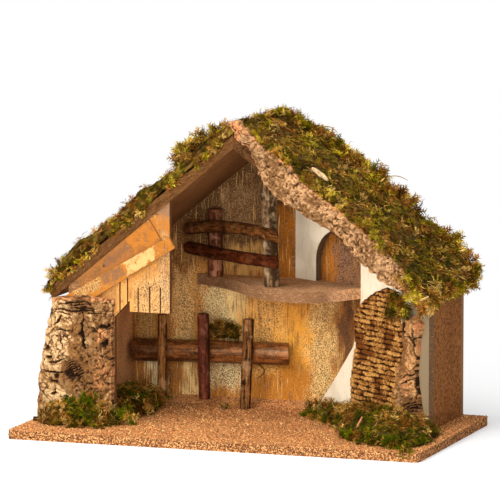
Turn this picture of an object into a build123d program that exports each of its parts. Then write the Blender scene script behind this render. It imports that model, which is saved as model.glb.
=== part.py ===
from build123d import *
import os
from math import cos, hypot, pi, radians, sin, tan

os.makedirs("parts", exist_ok=True)

# A wooden nativity stable: fibreboard walls and roof on a granule-covered base, dressed with
# cork bark, twigs and moss. Millimetres. +X is right, +Y is back, +Z is up, and the origin is
# the middle of the base's underside. Lengths across the stable are measured from the ridge line.

# Base board and the cork granules glued to its top and edges
base_width = 500.0
base_depth = 280.0
base_corner = 6.0
board_thickness = 8.0
granule_depth = 2.5
granule_edge = 1.5
bank_height = 8.0
bank_width = 14.0

# Walls
wall_thickness = 10.0
room_left = 194.0
room_right = 209.0
right_wall_length = 108.5

# Roof slabs
ridge_height = 340.0
left_pitch = 39.5
right_pitch = 37.6
roof_thickness = 12.0
roof_depth = 200.0
left_eave = 223.0
right_eave = 223.0

# Painted board in the front of the left gable, with its leg, knee and sawn slots
gable_thickness = 7.0
gable_setback = 2.0
gable_edge = 78.5
tooth_height = 144.0
notch_edge = 128.0
notch_height = 157.0
leg_edge = 147.0
knee_height = 137.0
slot_width = 1.6
slot_length = 30.0
slot_shares = ((0.17, 1.0), (0.36, 1.03), (0.57, 0.95), (0.76, 1.31), (0.90, 1.14))

# Batten and plank nailed over the gable board
batten_edge = 70.0
batten_height = 222.0
batten_slope = 32.0
batten_length = 158.0
batten_end_width = 15.0
batten_foot_width = 20.0
batten_thickness = 5.5
plank_thickness = 3.5
plank_gap = 1.5
plank_share = 0.80
plank_start_share = 0.07
brad_share = 0.56
brad_head = 2.6
brad_shank = 1.2
brad_head_height = 0.6

# Cork bark on the gable's leg
left_bark_edge = 145.0
left_bark_width = 97.0
left_bark_height = 151.0
left_bark_thickness = 17.0
left_bark_shares = (
    (0.0, 0.0), (0.035, 0.28), (0.025, 0.50), (0.04, 0.75), (0.02, 0.90), (0.0, 0.985), (0.40, 1.0),
    (0.79, 0.975), (0.79, 0.94), (0.89, 0.645), (0.97, 0.33), (1.0, 0.0),
)

# Arched board, which runs at an angle from the back wall to the front of the right wall.
# Lengths along it are measured from its free end.
facade_angle = 30.0
facade_thickness = 8.0
plaster_thickness = 1.0
arch_near = 117.0
arch_span = 80.0
arch_rise = 40.0
arch_spring = 190.0
pier_waist = 129.0
pier_waist_height = 96.0
foot_reach = 199.0
foot_hollow = 4.0

# Panel of long flat stones on the pier
panel_start = 40.0
panel_width = 92.0
panel_height = 161.0
panel_thickness = 5.0
stone_row = 7.2
stone_length = 31.0
stone_joint = 1.5
stone_joint_depth = 1.8
stone_tilt = 2.6
stone_bond_shares = (0.0, 0.47, 0.21, 0.68)
panel_shares = (
    (0.0, 0.0), (0.03, 0.70), (0.10, 0.80), (0.17, 0.905), (0.19, 0.985), (0.33, 1.0), (0.56, 0.944),
    (0.72, 0.891), (0.85, 0.829), (0.92, 0.767), (0.937, 0.717), (0.926, 0.59), (0.90, 0.535),
    (0.948, 0.445), (0.963, 0.375), (1.0, 0.28), (0.99, 0.158), (0.99, 0.0),
)

# Cork bark beside the stones
right_bark_start = 2.0
right_bark_width = 50.0
right_bark_height = 132.5
right_bark_thickness = 12.0
right_bark_shares = (
    (0.0, 0.0), (0.02, 0.08), (0.16, 0.23), (0.28, 0.47), (0.21, 0.77), (0.08, 0.95), (0.36, 1.0),
    (0.76, 0.955), (0.72, 0.70), (0.92, 0.52), (1.0, 0.305), (0.92, 0.09), (0.92, 0.0),
)

# Loft floor, level, with a free front edge
loft_top = 166.0
loft_thickness = 13.0
loft_left = 111.0
loft_span = 229.0
loft_reach = 113.5
loft_shares = (
    (0.0, 0.0), (0.158, 0.189), (0.288, 0.427), (0.486, 0.85), (0.667, 1.0), (0.824, 0.938),
    (0.923, 0.709), (0.985, 0.52), (1.0, 0.40),
)

# Loft posts and rails, of round twigs
short_post_place = 82.0
short_post_wall_gap = 7.5
short_post_diameter = 18.0
short_post_length = 81.0
tall_post_place = 11.0
tall_post_front = 80.5
tall_post_diameter = 19.0
tall_post_top_diameter = 17.0
tall_post_lean = 8.0
rail_diameter = 15.5
rail_end_diameter = 13.5
rail_seat = 0.8
rail_back_length = 34.0
rail_front_length = 34.0
upper_rail_height = 62.5
upper_rail_bow = 7.0
upper_rail_fall = 8.0
lower_rail_height = 33.5
lower_rail_bow = -1.5
lower_rail_fall = 1.0

# Rack on the back wall: a log and three uprights
log_diameter = 27.5
log_end_diameter = 26.0
log_left_gap = 7.0
log_length = 197.0
log_height = 72.5
log_rise = 3.5
glue_gap = 0.1
upright_seat = 0.8
upright_left_place = 144.0
upright_left_diameter = 11.0
upright_left_height = 119.5
upright_left_clearance = 7.0
upright_left_lean = 1.0
upright_middle_place = 90.6
upright_middle_diameter = 14.0
upright_middle_height = 123.0
upright_middle_clearance = 9.5
upright_middle_lean = -1.5
upright_right_place = 36.5
upright_right_diameter = 12.5
upright_right_height = 118.8
upright_right_clearance = 0.0
upright_right_lean = 5.0

# Bark fascia on the front edge of the right roof slab, drawn along the slab and square to it
fascia_start = 23.0
fascia_length = 312.0
fascia_width = 41.0
fascia_drop = 9.5
fascia_thickness = 13.0
fascia_shares = (
    (0.0, 0.75), (0.07, 0.56), (0.125, 0.57), (0.235, 0.11), (0.33, 0.0), (0.43, 0.10), (0.565, 0.30),
    (0.72, 0.17), (0.83, 0.12), (0.97, 0.34), (1.0, 0.58), (0.92, 0.60), (0.80, 0.86), (0.645, 0.885),
    (0.52, 0.89), (0.39, 0.785), (0.245, 0.955), (0.135, 0.84), (0.05, 1.0), (0.016, 0.99),
)

# Moss
roof_moss_depth = 19.5
roof_moss_eave = 9.0
roof_moss_edge_share = 0.62
roof_moss_lump_share = 0.24
roof_moss_lumps_along = 6
roof_moss_lumps_deep = 4
roof_moss_drift_share = 0.09
roof_moss_drift_waves = 3
roof_moss_ribs = 9
roof_moss_steps = 12
left_ground_moss_height = 30.0
right_ground_moss_height = 24.0
wall_moss_place = 73.0
wall_moss_width = 40.0
wall_moss_height = 28.0
wall_moss_depth = 15.0
pier_moss_start = 26.0
pier_moss_width = 42.0
pier_moss_base = 134.0
pier_moss_height = 32.0
pier_moss_depth = 11.0
clump_shares = (
    (0.0, 0.10), (0.22, 0.0), (0.55, 0.06), (0.84, 0.0), (1.0, 0.24), (0.92, 0.62), (0.70, 0.93),
    (0.46, 0.86), (0.30, 1.0), (0.10, 0.66),
)
front_clump_shares = (
    (-0.985, -0.50), (-0.89, -0.68), (-0.76, -0.67), (-0.63, -0.62), (-0.53, -0.46), (-0.56, -0.36),
    (-0.96, -0.36),
)
room_clump_shares = (
    (-0.60, -0.34), (-0.53, -0.16), (-0.51, 0.10), (-0.52, 0.42), (-0.56, 0.74), (-0.775, 0.78),
    (-0.775, -0.34),
)
pier_clump_shares = (
    (0.20, 0.80), (0.24, 0.42), (0.38, 0.02), (0.51, -0.36), (0.70, -0.76), (0.86, -0.86),
    (0.96, -0.74), (0.985, -0.40), (0.95, -0.02), (0.86, 0.34),
)
mound_shoulder_share = 0.55
mound_shoulder_size_share = 0.86
mound_top_size_share = 0.45

# Levels and faces worked out from the sizes above
floor_height = board_thickness + granule_depth
board_back = base_depth / 2 - granule_edge
wall_face = board_back - wall_thickness
left_outer = room_left + wall_thickness
right_outer = room_right + wall_thickness
roof_back = base_depth / 2
roof_front = roof_back - roof_depth
gable_face = roof_front + gable_setback
gable_back = gable_face + gable_thickness
loft_bottom = loft_top - loft_thickness
far = base_width + base_depth


def slope_of(x):
    """Rise per unit of level run of the roof on the side of the ridge where x lies."""
    return tan(radians(right_pitch if x > 0 else left_pitch))


def roof_underside(x):
    """Height of the roof's underside above the table at a distance x from the ridge line."""
    return ridge_height - abs(x) * slope_of(x)


def facing_front(y):
    """Upright plane across the stable at depth y, whose normal points to the front."""
    return Plane.XZ.offset(-y)


def scaled(shares, width, height):
    """Outline points from shares of a width and a height."""
    return [(a * width, b * height) for a, b in shares]


def outline_face(plane, points):
    """Flat face on a plane with straight edges between its points."""
    with BuildSketch(plane) as face:
        with BuildLine():
            Polyline(*points, close=True)
        make_face()
    return face.sketch


def rod(stations):
    """Round rod through stations, each of a centre, the rod's direction there and a diameter."""
    with BuildPart() as stick:
        for centre, direction, diameter in stations:
            with BuildSketch(Plane(origin=centre, z_dir=direction)):
                Circle(diameter / 2)
        loft()
    return stick.part


def mound(points, bottom, height):
    """Low heap over a floor outline: it narrows at its shoulder and again at its top."""
    middle_x = sum(x for x, y in points) / len(points)
    middle_y = sum(y for x, y in points) / len(points)
    rings = ((0, 1), (mound_shoulder_share, mound_shoulder_size_share), (1, mound_top_size_share))
    with BuildPart() as heap:
        for level, size in rings:
            ring = [(middle_x + (x - middle_x) * size, middle_y + (y - middle_y) * size) for x, y in points]
            with BuildSketch(Plane.XY.offset(bottom + level * height)):
                with BuildLine():
                    Polyline(*ring, close=True)
                make_face()
        loft(ruled=True)
    return heap.part


# Space above the roof's underside, used to trim what reaches up to the roof
with BuildPart() as roof_space:
    with BuildSketch(facing_front(far)):
        with BuildLine():
            Polyline(
                (0, ridge_height), (far, roof_underside(far)), (far, ridge_height + far),
                (-far, ridge_height + far), (-far, roof_underside(-far)), close=True,
            )
        make_face()
    extrude(amount=2 * far)

# Base board
with BuildPart() as base_board:
    with BuildSketch():
        RectangleRounded(
            base_width - 2 * granule_edge, base_depth - 2 * granule_edge, base_corner - granule_edge,
        )
    extrude(amount=board_thickness)

# Back wall, a gable that stands on the board's back edge
with BuildPart() as back_wall:
    with BuildSketch(facing_front(board_back)):
        with BuildLine():
            Polyline(
                (-left_outer, board_thickness), (right_outer, board_thickness),
                (right_outer, roof_underside(right_outer)), (0, ridge_height),
                (-left_outer, roof_underside(-left_outer)), close=True,
            )
        make_face()
    extrude(amount=wall_thickness)

# Left wall, from the back wall to the gable board
with BuildPart() as left_wall:
    with BuildSketch(facing_front(wall_face)):
        with BuildLine():
            Polyline(
                (-left_outer, board_thickness), (-room_left, board_thickness),
                (-room_left, roof_underside(-room_left)), (-left_outer, roof_underside(-left_outer)),
                close=True,
            )
        make_face()
    extrude(amount=wall_face - gable_back)

# Plane of the arched board's back: it passes the right wall's outer front corner, and its
# local axes run along the board to the right, up, and out to the front
facade_turn = radians(facade_angle)
facade_plane = Plane(
    origin=(right_outer, wall_face - right_wall_length, 0),
    x_dir=(cos(facade_turn), -sin(facade_turn), 0),
    z_dir=(-sin(facade_turn), -cos(facade_turn), 0),
)
wall_plane = Plane(origin=(0, wall_face, 0), z_dir=(0, 1, 0))
plaster_plane = facade_plane.offset(facade_thickness)
pier_plane = plaster_plane.offset(plaster_thickness)

# Right wall, mitred to the back of the arched board
with BuildPart() as right_wall:
    with BuildSketch(facing_front(wall_face)):
        with BuildLine():
            Polyline(
                (room_right, board_thickness), (right_outer, board_thickness),
                (right_outer, roof_underside(right_outer)), (room_right, roof_underside(room_right)),
                close=True,
            )
        make_face()
    extrude(amount=right_wall_length + wall_thickness)
    split(bisect_by=facade_plane, keep=Keep.BOTTOM)


def facade_face(plane):
    """Outline of the arched board: a leg on the loft, the arch, the pier and its flared foot."""
    arch_far = arch_near + arch_span
    crown = (-(arch_near + arch_far) / 2, arch_spring + arch_rise)
    waist = (-pier_waist, pier_waist_height)
    toe = (-foot_reach, board_thickness)
    chord = hypot(toe[0] - waist[0], toe[1] - waist[1])
    bend = (
        (waist[0] + toe[0]) / 2 + foot_hollow * (waist[1] - toe[1]) / chord,
        (waist[1] + toe[1]) / 2 + foot_hollow * (waist[0] - toe[0]) / chord,
    )
    with BuildSketch(plane) as face:
        with BuildLine():
            Polyline(
                toe, (0, board_thickness), (0, ridge_height), (-far, ridge_height), (-far, loft_top),
                (-arch_far, loft_top), (-arch_far, arch_spring),
            )
            ThreePointArc((-arch_far, arch_spring), crown, (-arch_near, arch_spring))
            Polyline((-arch_near, arch_spring), (-arch_near, loft_bottom), waist)
            ThreePointArc(waist, bend, toe)
        make_face()
    return face.sketch


# Arched board and the plaster on its front
with BuildPart() as arch_facade:
    extrude(facade_face(facade_plane), amount=facade_thickness)
    split(bisect_by=wall_plane, keep=Keep.BOTTOM)
    add(roof_space.part, mode=Mode.SUBTRACT)

with BuildPart() as plaster_coat:
    extrude(facade_face(plaster_plane), amount=plaster_thickness)
    split(bisect_by=wall_plane, keep=Keep.BOTTOM)
    add(roof_space.part, mode=Mode.SUBTRACT)

# Roof slabs, square at the eaves and mitred at the ridge, drawn along each slope
left_turn = radians(left_pitch)
right_turn = radians(right_pitch)
left_roof_plane = Plane(
    origin=(0, roof_front, ridge_height), x_dir=(-cos(left_turn), 0, -sin(left_turn)), z_dir=(0, 1, 0),
)
right_roof_plane = Plane(
    origin=(0, roof_back, ridge_height), x_dir=(cos(right_turn), 0, -sin(right_turn)), z_dir=(0, -1, 0),
)
left_slope_length = left_eave / cos(left_turn)
right_slope_length = right_eave / cos(right_turn)

with BuildPart() as left_roof_slab:
    with BuildSketch(left_roof_plane):
        with BuildLine():
            Polyline(
                (0, 0), (left_slope_length, 0), (left_slope_length, roof_thickness),
                (-roof_thickness * tan(left_turn), roof_thickness), close=True,
            )
        make_face()
    extrude(amount=roof_depth)

with BuildPart() as right_roof_slab:
    with BuildSketch(right_roof_plane):
        with BuildLine():
            Polyline(
                (0, 0), (right_slope_length, 0), (right_slope_length, roof_thickness),
                (-roof_thickness * tan(right_turn), roof_thickness), close=True,
            )
        make_face()
    extrude(amount=roof_depth)

# Bark fascia on the right slab's front edge
with BuildPart() as bark_fascia:
    fascia_points = [
        (along - fascia_start, above - fascia_drop)
        for along, above in scaled(fascia_shares, fascia_length, fascia_width)
    ]
    extrude(outline_face(right_roof_plane.offset(roof_depth), fascia_points), amount=fascia_thickness)

# Cork bark on the gable's leg
with BuildPart() as left_bark_slab:
    left_bark_points = [
        (-left_bark_edge - across, floor_height + up)
        for across, up in scaled(left_bark_shares, left_bark_width, left_bark_height)
    ]
    extrude(outline_face(facing_front(gable_face), left_bark_points), amount=left_bark_thickness)
    add(roof_space.part, mode=Mode.SUBTRACT)

# Plane of the gable board's face, drawn along the batten and square to it
batten_turn = radians(batten_slope)
batten_plane = Plane(
    origin=(-batten_edge, gable_face, batten_height),
    x_dir=(-cos(batten_turn), 0, -sin(batten_turn)), z_dir=(0, 1, 0),
)


def batten_top(share):
    """Point on the batten's upper edge, in its own plane, at a share of its length."""
    width = batten_end_width + (batten_foot_width - batten_end_width) * share
    return (share * batten_length, width)


def under_roof(share):
    """Point in the batten's plane just below the roof, square above a share of the batten's length."""
    along, above = batten_top(share)
    x = -batten_edge - along * cos(batten_turn)
    room = roof_underside(x) - plank_gap - batten_height + along * sin(batten_turn)
    lift = room * cos(left_turn) / cos(left_turn - batten_turn)
    return (along, lift)


# Brad through the plank into the gable board
with BuildPart() as plank_brad:
    brad_low = batten_top(brad_share)
    brad_high = under_roof(brad_share)
    brad_place = (brad_low[0], (brad_low[1] + brad_high[1]) / 2)
    with BuildSketch(batten_plane.offset(-plank_thickness)):
        with Locations(brad_place):
            Circle(brad_head / 2)
    extrude(amount=-brad_head_height)
    with BuildSketch(batten_plane.offset(-plank_thickness)):
        with Locations(brad_place):
            Circle(brad_shank / 2)
    extrude(amount=plank_thickness + gable_thickness / 2)

# Painted gable board with its leg, knee and saw slots
with BuildPart() as gable_board:
    with BuildSketch(facing_front(gable_back)):
        with BuildLine():
            Polyline(
                (-left_outer, board_thickness), (-leg_edge, board_thickness), (-leg_edge, knee_height),
                (-notch_edge, notch_height), (-notch_edge, tooth_height), (-gable_edge, tooth_height),
                (-gable_edge, roof_underside(-gable_edge)), (-left_outer, roof_underside(-left_outer)),
                close=True,
            )
        make_face()
        for across, up in scaled(slot_shares, leg_edge - gable_edge, slot_length):
            slot_bottom = knee_height - slot_length
            slot_top = tooth_height + up
            with Locations((-gable_edge - across, (slot_bottom + slot_top) / 2)):
                Rectangle(slot_width, slot_top - slot_bottom, mode=Mode.SUBTRACT)
    extrude(amount=gable_thickness)
    add(plank_brad.part, mode=Mode.SUBTRACT)

# Batten and the plank above it, both ending on the bark
with BuildPart() as gable_batten:
    batten_points = [(0, 0), (batten_length, 0), batten_top(1), batten_top(0)]
    extrude(outline_face(batten_plane, batten_points), amount=-batten_thickness)
    add(left_bark_slab.part, mode=Mode.SUBTRACT)

with BuildPart() as gable_plank:
    plank_points = [
        batten_top(plank_start_share), batten_top(plank_share), under_roof(plank_share),
        under_roof(plank_start_share),
    ]
    extrude(outline_face(batten_plane, plank_points), amount=-plank_thickness)
    add(left_bark_slab.part, mode=Mode.SUBTRACT)
    add(plank_brad.part, mode=Mode.SUBTRACT)

# Cork bark beside the stones
with BuildPart() as right_bark_strip:
    right_bark_points = [
        (-right_bark_start - across, floor_height + up)
        for across, up in scaled(right_bark_shares, right_bark_width, right_bark_height)
    ]
    extrude(outline_face(pier_plane, right_bark_points), amount=right_bark_thickness)

# Stone panel: a sheet fitted to the bark's edge, then rows of long stones left between sunk joints
with BuildPart() as panel_sheet:
    panel_points = [
        (-panel_start - across, floor_height + up)
        for across, up in scaled(panel_shares, panel_width, panel_height)
    ]
    extrude(outline_face(pier_plane, panel_points), amount=panel_thickness)
    add(right_bark_strip.part, mode=Mode.SUBTRACT)

with BuildPart() as stone_panel:
    add(panel_sheet.part)
    joint_plane = pier_plane.offset(panel_thickness).rotated((0, 0, -stone_tilt))
    row_levels = [floor_height + row * stone_row for row in range(int(panel_height / stone_row) + 1)]
    row_length = panel_start + panel_width
    joint_places = []
    for row, level in enumerate(row_levels):
        shift = stone_length * stone_bond_shares[row % len(stone_bond_shares)]
        for stone in range(int(row_length / stone_length) + 1):
            joint_places.append((-stone_length * stone - shift, level + stone_row / 2))
    with BuildSketch(joint_plane):
        with Locations(*[(-row_length / 2, level) for level in row_levels]):
            Rectangle(2 * row_length, stone_joint)
        with Locations(*joint_places):
            Rectangle(stone_joint, stone_row)
    extrude(amount=-stone_joint_depth, mode=Mode.SUBTRACT)

# Loft floor: its back follows the back wall and then the back of the arched board
with BuildPart() as loft_floor:
    loft_points = [
        (across - loft_left, wall_face - out)
        for across, out in scaled(loft_shares, loft_span, loft_reach)
    ]
    with BuildSketch(Plane.XY.offset(loft_bottom)):
        with BuildLine():
            Spline(*loft_points)
            Polyline(loft_points[-1], (loft_points[-1][0], wall_face), loft_points[0])
        make_face()
    extrude(amount=loft_thickness)
    split(bisect_by=facade_plane, keep=Keep.TOP)
    loft_end = facade_plane.from_local_coords(Vector(-arch_near, 0, 0))
    split(bisect_by=Plane(origin=loft_end, z_dir=facade_plane.x_dir), keep=Keep.BOTTOM)

# Loft posts
up_direction = Vector(0, 0, 1)
short_post_centre = Vector(
    -short_post_place, wall_face - short_post_wall_gap - short_post_diameter / 2, loft_top,
)
tall_post_centre = Vector(tall_post_place, wall_face - tall_post_front, loft_top)

with BuildPart() as short_post:
    short_post_end = short_post_centre + up_direction * short_post_length
    add(rod((
        (short_post_centre, up_direction, short_post_diameter),
        (short_post_end, up_direction, short_post_diameter),
    )))

with BuildPart() as tall_post:
    tall_post_end = tall_post_centre + Vector(-tall_post_lean, 0, ridge_height - loft_top)
    add(rod((
        (tall_post_centre, up_direction, tall_post_diameter),
        (tall_post_end, up_direction, tall_post_top_diameter),
    )))
    add(roof_space.part, mode=Mode.SUBTRACT)

# Two bent rails seated on the front of both posts
rail_run = tall_post_centre - short_post_centre
rail_direction = rail_run.normalized()
rail_front = rail_direction.cross(up_direction)


def rail(height, bow, fall):
    """Bent twig on the posts' front side, bowed upwards, its back end lower by the fall."""
    short_seat = (short_post_diameter + rail_diameter) / 2 - rail_seat
    tall_seat = (tall_post_diameter + rail_diameter) / 2 - rail_seat
    back = short_post_centre + rail_front * short_seat - rail_direction * rail_back_length
    front = tall_post_centre + rail_front * tall_seat + rail_direction * rail_front_length
    back = back + up_direction * (height - fall)
    front = front + up_direction * height
    middle = (back + front) / 2 + up_direction * bow
    with BuildPart() as twig:
        add(rod((
            (back, rail_direction, rail_end_diameter), (middle, rail_direction, rail_diameter),
            (front, rail_direction, rail_end_diameter),
        )))
        add(short_post.part, mode=Mode.SUBTRACT)
        add(tall_post.part, mode=Mode.SUBTRACT)
        split(bisect_by=wall_plane, keep=Keep.BOTTOM)
    return twig.part


with BuildPart() as upper_rail:
    add(rail(upper_rail_height, upper_rail_bow, upper_rail_fall))

with BuildPart() as lower_rail:
    add(rail(lower_rail_height, lower_rail_bow, lower_rail_fall))

# Rack log along the back wall
log_left = -room_left + log_left_gap
log_depth = wall_face - glue_gap - log_diameter / 2
log_run = Vector(log_length, 0, log_rise)
log_direction = log_run.normalized()
log_start = Vector(log_left, log_depth, log_height)

with BuildPart() as rack_log:
    add(rod((
        (log_start, log_direction, log_end_diameter),
        (log_start + log_run / 2, log_direction, log_diameter),
        (log_start + log_run, log_direction, log_end_diameter),
    )))


def rack_upright(place, diameter, height, clearance, lean):
    """Upright twig seated on the log's front, leaning by its top's shift to the right."""
    depth = log_depth - (log_diameter + diameter) / 2 + upright_seat
    foot = Vector(-place - lean / 2, depth, floor_height + clearance)
    top = Vector(-place + lean / 2, depth, height)
    with BuildPart() as twig:
        add(rod(((foot, up_direction, diameter), (top, up_direction, diameter))))
        add(rack_log.part, mode=Mode.SUBTRACT)
    return twig.part


with BuildPart() as rack_upright_left:
    add(rack_upright(
        upright_left_place, upright_left_diameter, upright_left_height, upright_left_clearance,
        upright_left_lean,
    ))

with BuildPart() as rack_upright_middle:
    add(rack_upright(
        upright_middle_place, upright_middle_diameter, upright_middle_height, upright_middle_clearance,
        upright_middle_lean,
    ))

with BuildPart() as rack_upright_right:
    add(rack_upright(
        upright_right_place, upright_right_diameter, upright_right_height, upright_right_clearance,
        upright_right_lean,
    ))


def moss_depth_at(along_share, depth_share):
    """Depth of the roof moss: thickest half-way down the slope, with lumps and a slow drift across it."""
    swell = roof_moss_edge_share + (1 - roof_moss_edge_share) * sin(pi * along_share)
    lumps = sin(roof_moss_lumps_along * pi * along_share) * cos(roof_moss_lumps_deep * pi * depth_share)
    drift = sin(roof_moss_drift_waves * pi * (along_share + depth_share))
    return roof_moss_depth * (swell + roof_moss_lump_share * lumps + roof_moss_drift_share * drift)


def roof_moss(plane, slope_length, turn):
    """Lumpy moss over one slab, from the ridge to just past the eave."""
    with BuildPart() as layer:
        for rib in range(roof_moss_ribs):
            depth_share = rib / (roof_moss_ribs - 1)
            ridge_top = roof_thickness + moss_depth_at(0, depth_share)
            points = [(-roof_thickness * tan(turn), roof_thickness), (-ridge_top * tan(turn), ridge_top)]
            for step in range(1, roof_moss_steps + 1):
                along_share = step / roof_moss_steps
                along = along_share * (slope_length + roof_moss_eave)
                points.append((along, roof_thickness + moss_depth_at(along_share, depth_share)))
            points.append((slope_length + roof_moss_eave, roof_thickness))
            with BuildSketch(plane.offset(depth_share * roof_depth)):
                with BuildLine():
                    Polyline(*points, close=True)
                make_face()
        loft(ruled=True)
    return layer.part


with BuildPart() as left_roof_moss:
    add(roof_moss(left_roof_plane, left_slope_length, left_turn))

with BuildPart() as right_roof_moss:
    add(roof_moss(right_roof_plane, right_slope_length, right_turn))

# Moss on the ground: in front of the left bark and inside the room, and around the pier
half_width = base_width / 2
half_depth = base_depth / 2

with BuildPart() as left_ground_moss:
    add(mound(scaled(front_clump_shares, half_width, half_depth), floor_height, left_ground_moss_height))
    add(mound(scaled(room_clump_shares, half_width, half_depth), floor_height, left_ground_moss_height))
    for piece in (left_bark_slab, gable_board, left_wall, rack_upright_left, rack_log):
        add(piece.part, mode=Mode.SUBTRACT)

with BuildPart() as right_ground_moss:
    add(mound(scaled(pier_clump_shares, half_width, half_depth), floor_height, right_ground_moss_height))
    split(bisect_by=pier_plane, keep=Keep.TOP)
    for piece in (panel_sheet, right_bark_strip):
        add(piece.part, mode=Mode.SUBTRACT)

# Moss tufts on the back wall above the log and on the pier above its bark
with BuildPart() as wall_moss:
    wall_moss_bottom = log_height + log_diameter / 2
    wall_clump_points = [
        (across - wall_moss_place - wall_moss_width / 2, wall_moss_bottom + up)
        for across, up in scaled(clump_shares, wall_moss_width, wall_moss_height)
    ]
    extrude(outline_face(facing_front(wall_face), wall_clump_points), amount=wall_moss_depth)
    for piece in (rack_log, rack_upright_middle):
        add(piece.part, mode=Mode.SUBTRACT)

with BuildPart() as pier_moss:
    pier_clump_points = [
        (across - pier_moss_start - pier_moss_width, pier_moss_base + up)
        for across, up in scaled(clump_shares, pier_moss_width, pier_moss_height)
    ]
    extrude(outline_face(pier_plane, pier_clump_points), amount=pier_moss_depth)
    for piece in (panel_sheet, right_bark_strip, roof_space):
        add(piece.part, mode=Mode.SUBTRACT)

# Granules: a layer over the board's top and edges, banked at the back wall, with the boards
# that stand on the base passing through it
with BuildPart() as granule_cover:
    with BuildSketch():
        RectangleRounded(base_width, base_depth, base_corner)
    extrude(amount=floor_height)
    with BuildSketch(Plane.YZ.offset(-room_left)):
        with BuildLine():
            Polyline(
                (wall_face, floor_height), (wall_face, floor_height + bank_height),
                (wall_face - bank_width, floor_height), close=True,
            )
        make_face()
    extrude(amount=room_left + room_right)
    standing = (base_board, back_wall, left_wall, right_wall, gable_board, arch_facade, plaster_coat)
    for piece in standing:
        add(piece.part, mode=Mode.SUBTRACT)

pieces = {
    "base_board": base_board,
    "granule_cover": granule_cover,
    "back_wall": back_wall,
    "left_wall": left_wall,
    "right_wall": right_wall,
    "gable_board": gable_board,
    "gable_plank": gable_plank,
    "gable_batten": gable_batten,
    "plank_brad": plank_brad,
    "left_bark_slab": left_bark_slab,
    "arch_facade": arch_facade,
    "plaster_coat": plaster_coat,
    "stone_panel": stone_panel,
    "right_bark_strip": right_bark_strip,
    "loft_floor": loft_floor,
    "short_post": short_post,
    "tall_post": tall_post,
    "upper_rail": upper_rail,
    "lower_rail": lower_rail,
    "rack_log": rack_log,
    "rack_upright_left": rack_upright_left,
    "rack_upright_middle": rack_upright_middle,
    "rack_upright_right": rack_upright_right,
    "left_roof_slab": left_roof_slab,
    "right_roof_slab": right_roof_slab,
    "bark_fascia": bark_fascia,
    "left_roof_moss": left_roof_moss,
    "right_roof_moss": right_roof_moss,
    "left_ground_moss": left_ground_moss,
    "right_ground_moss": right_ground_moss,
    "wall_moss": wall_moss,
    "pier_moss": pier_moss,
}

for label, piece in pieces.items():
    piece.part.label = label
    export_step(piece.part, f"parts/{label}.step")
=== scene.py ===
"""Wooden nativity stable: bark, twigs, stones, granules, moss and every finish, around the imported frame."""
import logging
from dataclasses import dataclass, field, replace
from enum import Enum
from itertools import product
from math import cos, pi, radians, sin

import bmesh
import bpy
import numpy as np
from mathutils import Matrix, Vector


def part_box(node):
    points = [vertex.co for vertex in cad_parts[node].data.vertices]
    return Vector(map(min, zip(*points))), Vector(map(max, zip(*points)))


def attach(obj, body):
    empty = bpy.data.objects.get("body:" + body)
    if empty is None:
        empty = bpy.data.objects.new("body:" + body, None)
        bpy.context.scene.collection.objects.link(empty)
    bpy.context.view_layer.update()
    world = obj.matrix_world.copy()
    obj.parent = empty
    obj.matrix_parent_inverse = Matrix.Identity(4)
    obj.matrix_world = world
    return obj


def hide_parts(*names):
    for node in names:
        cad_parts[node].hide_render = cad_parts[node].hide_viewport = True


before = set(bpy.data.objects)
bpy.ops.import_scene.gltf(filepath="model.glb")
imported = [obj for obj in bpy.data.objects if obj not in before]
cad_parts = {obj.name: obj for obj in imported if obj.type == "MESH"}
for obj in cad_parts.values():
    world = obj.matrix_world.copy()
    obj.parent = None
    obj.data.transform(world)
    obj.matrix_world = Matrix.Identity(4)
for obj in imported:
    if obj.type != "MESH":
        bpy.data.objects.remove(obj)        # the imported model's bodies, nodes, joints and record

Array = np.ndarray
Rng = np.random.Generator
Colour = tuple[int, int, int]
Pair = tuple[float, float]
Place = tuple[float, float, float]
Axes = tuple[Array, Array, Array]
Socket = bpy.types.NodeSocket
Material = bpy.types.Material
Mesh = bpy.types.Mesh
Value = Socket | float | Colour | list[float]

LOG = logging.getLogger("stable")
BODY = "root"
MM = 0.001
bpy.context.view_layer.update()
UP: Place = (0, 0, 1)
DOWN: Place = (0, 0, -1)
FRONT: Place = (0, -1, 0)
EVEN: Place = (1, 1, 1)


def linear(colour: Colour) -> Array:
    """Linear red, green and blue of a display colour given in 0 to 255."""
    share = np.array(colour, float) / 255
    return np.where(share <= 0.04045, share / 12.92, ((share + 0.055) / 1.055) ** 2.4)


def palette(colours: tuple[Colour, ...]) -> Array:
    """Linear red, green and blue of several display colours, of shape (n, 3)."""
    return np.array([linear(colour) for colour in colours])


def rows(kind: type, *fields: tuple) -> tuple:
    """Things of one kind, each from a row of its fields."""
    return tuple(kind(*row) for row in fields)


def unit(vectors: Array) -> Array:
    """Vectors scaled to length 1 along their last axis."""
    return vectors / np.maximum(np.linalg.norm(vectors, axis=-1, keepdims=True), 1e-12)


def ease(values: Array, low: float, high: float) -> Array:
    """Smooth step: 0 at low, 1 at high, with level ends."""
    share = np.clip((values - low) / (high - low), 0, 1)
    return share * share * (3 - 2 * share)


def around(travel: Array, turns: Array, radius: float) -> Array:
    """Places on a tube for noise: the travel along it, and a circle of a radius around it."""
    return np.stack(np.broadcast_arrays(travel, radius * np.cos(turns), radius * np.sin(turns)), axis=-1)


def tube_faces(rings: int, sides: int) -> list[Array]:
    """Faces of a closed tube whose points follow each other ring by ring.

    Args:
        rings: how many rings of points.
        sides: how many points to a ring.

    Returns:
        The quads between the rings, and one flat face at each end.
    """
    index = np.arange(rings * sides).reshape(rings, sides)
    after = np.roll(index, -1, axis=1)
    quads = np.stack((index[:-1], after[:-1], after[1:], index[1:]), axis=-1).reshape(-1, 4)
    return [quads, index[0, ::-1][None], index[-1][None]]


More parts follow.
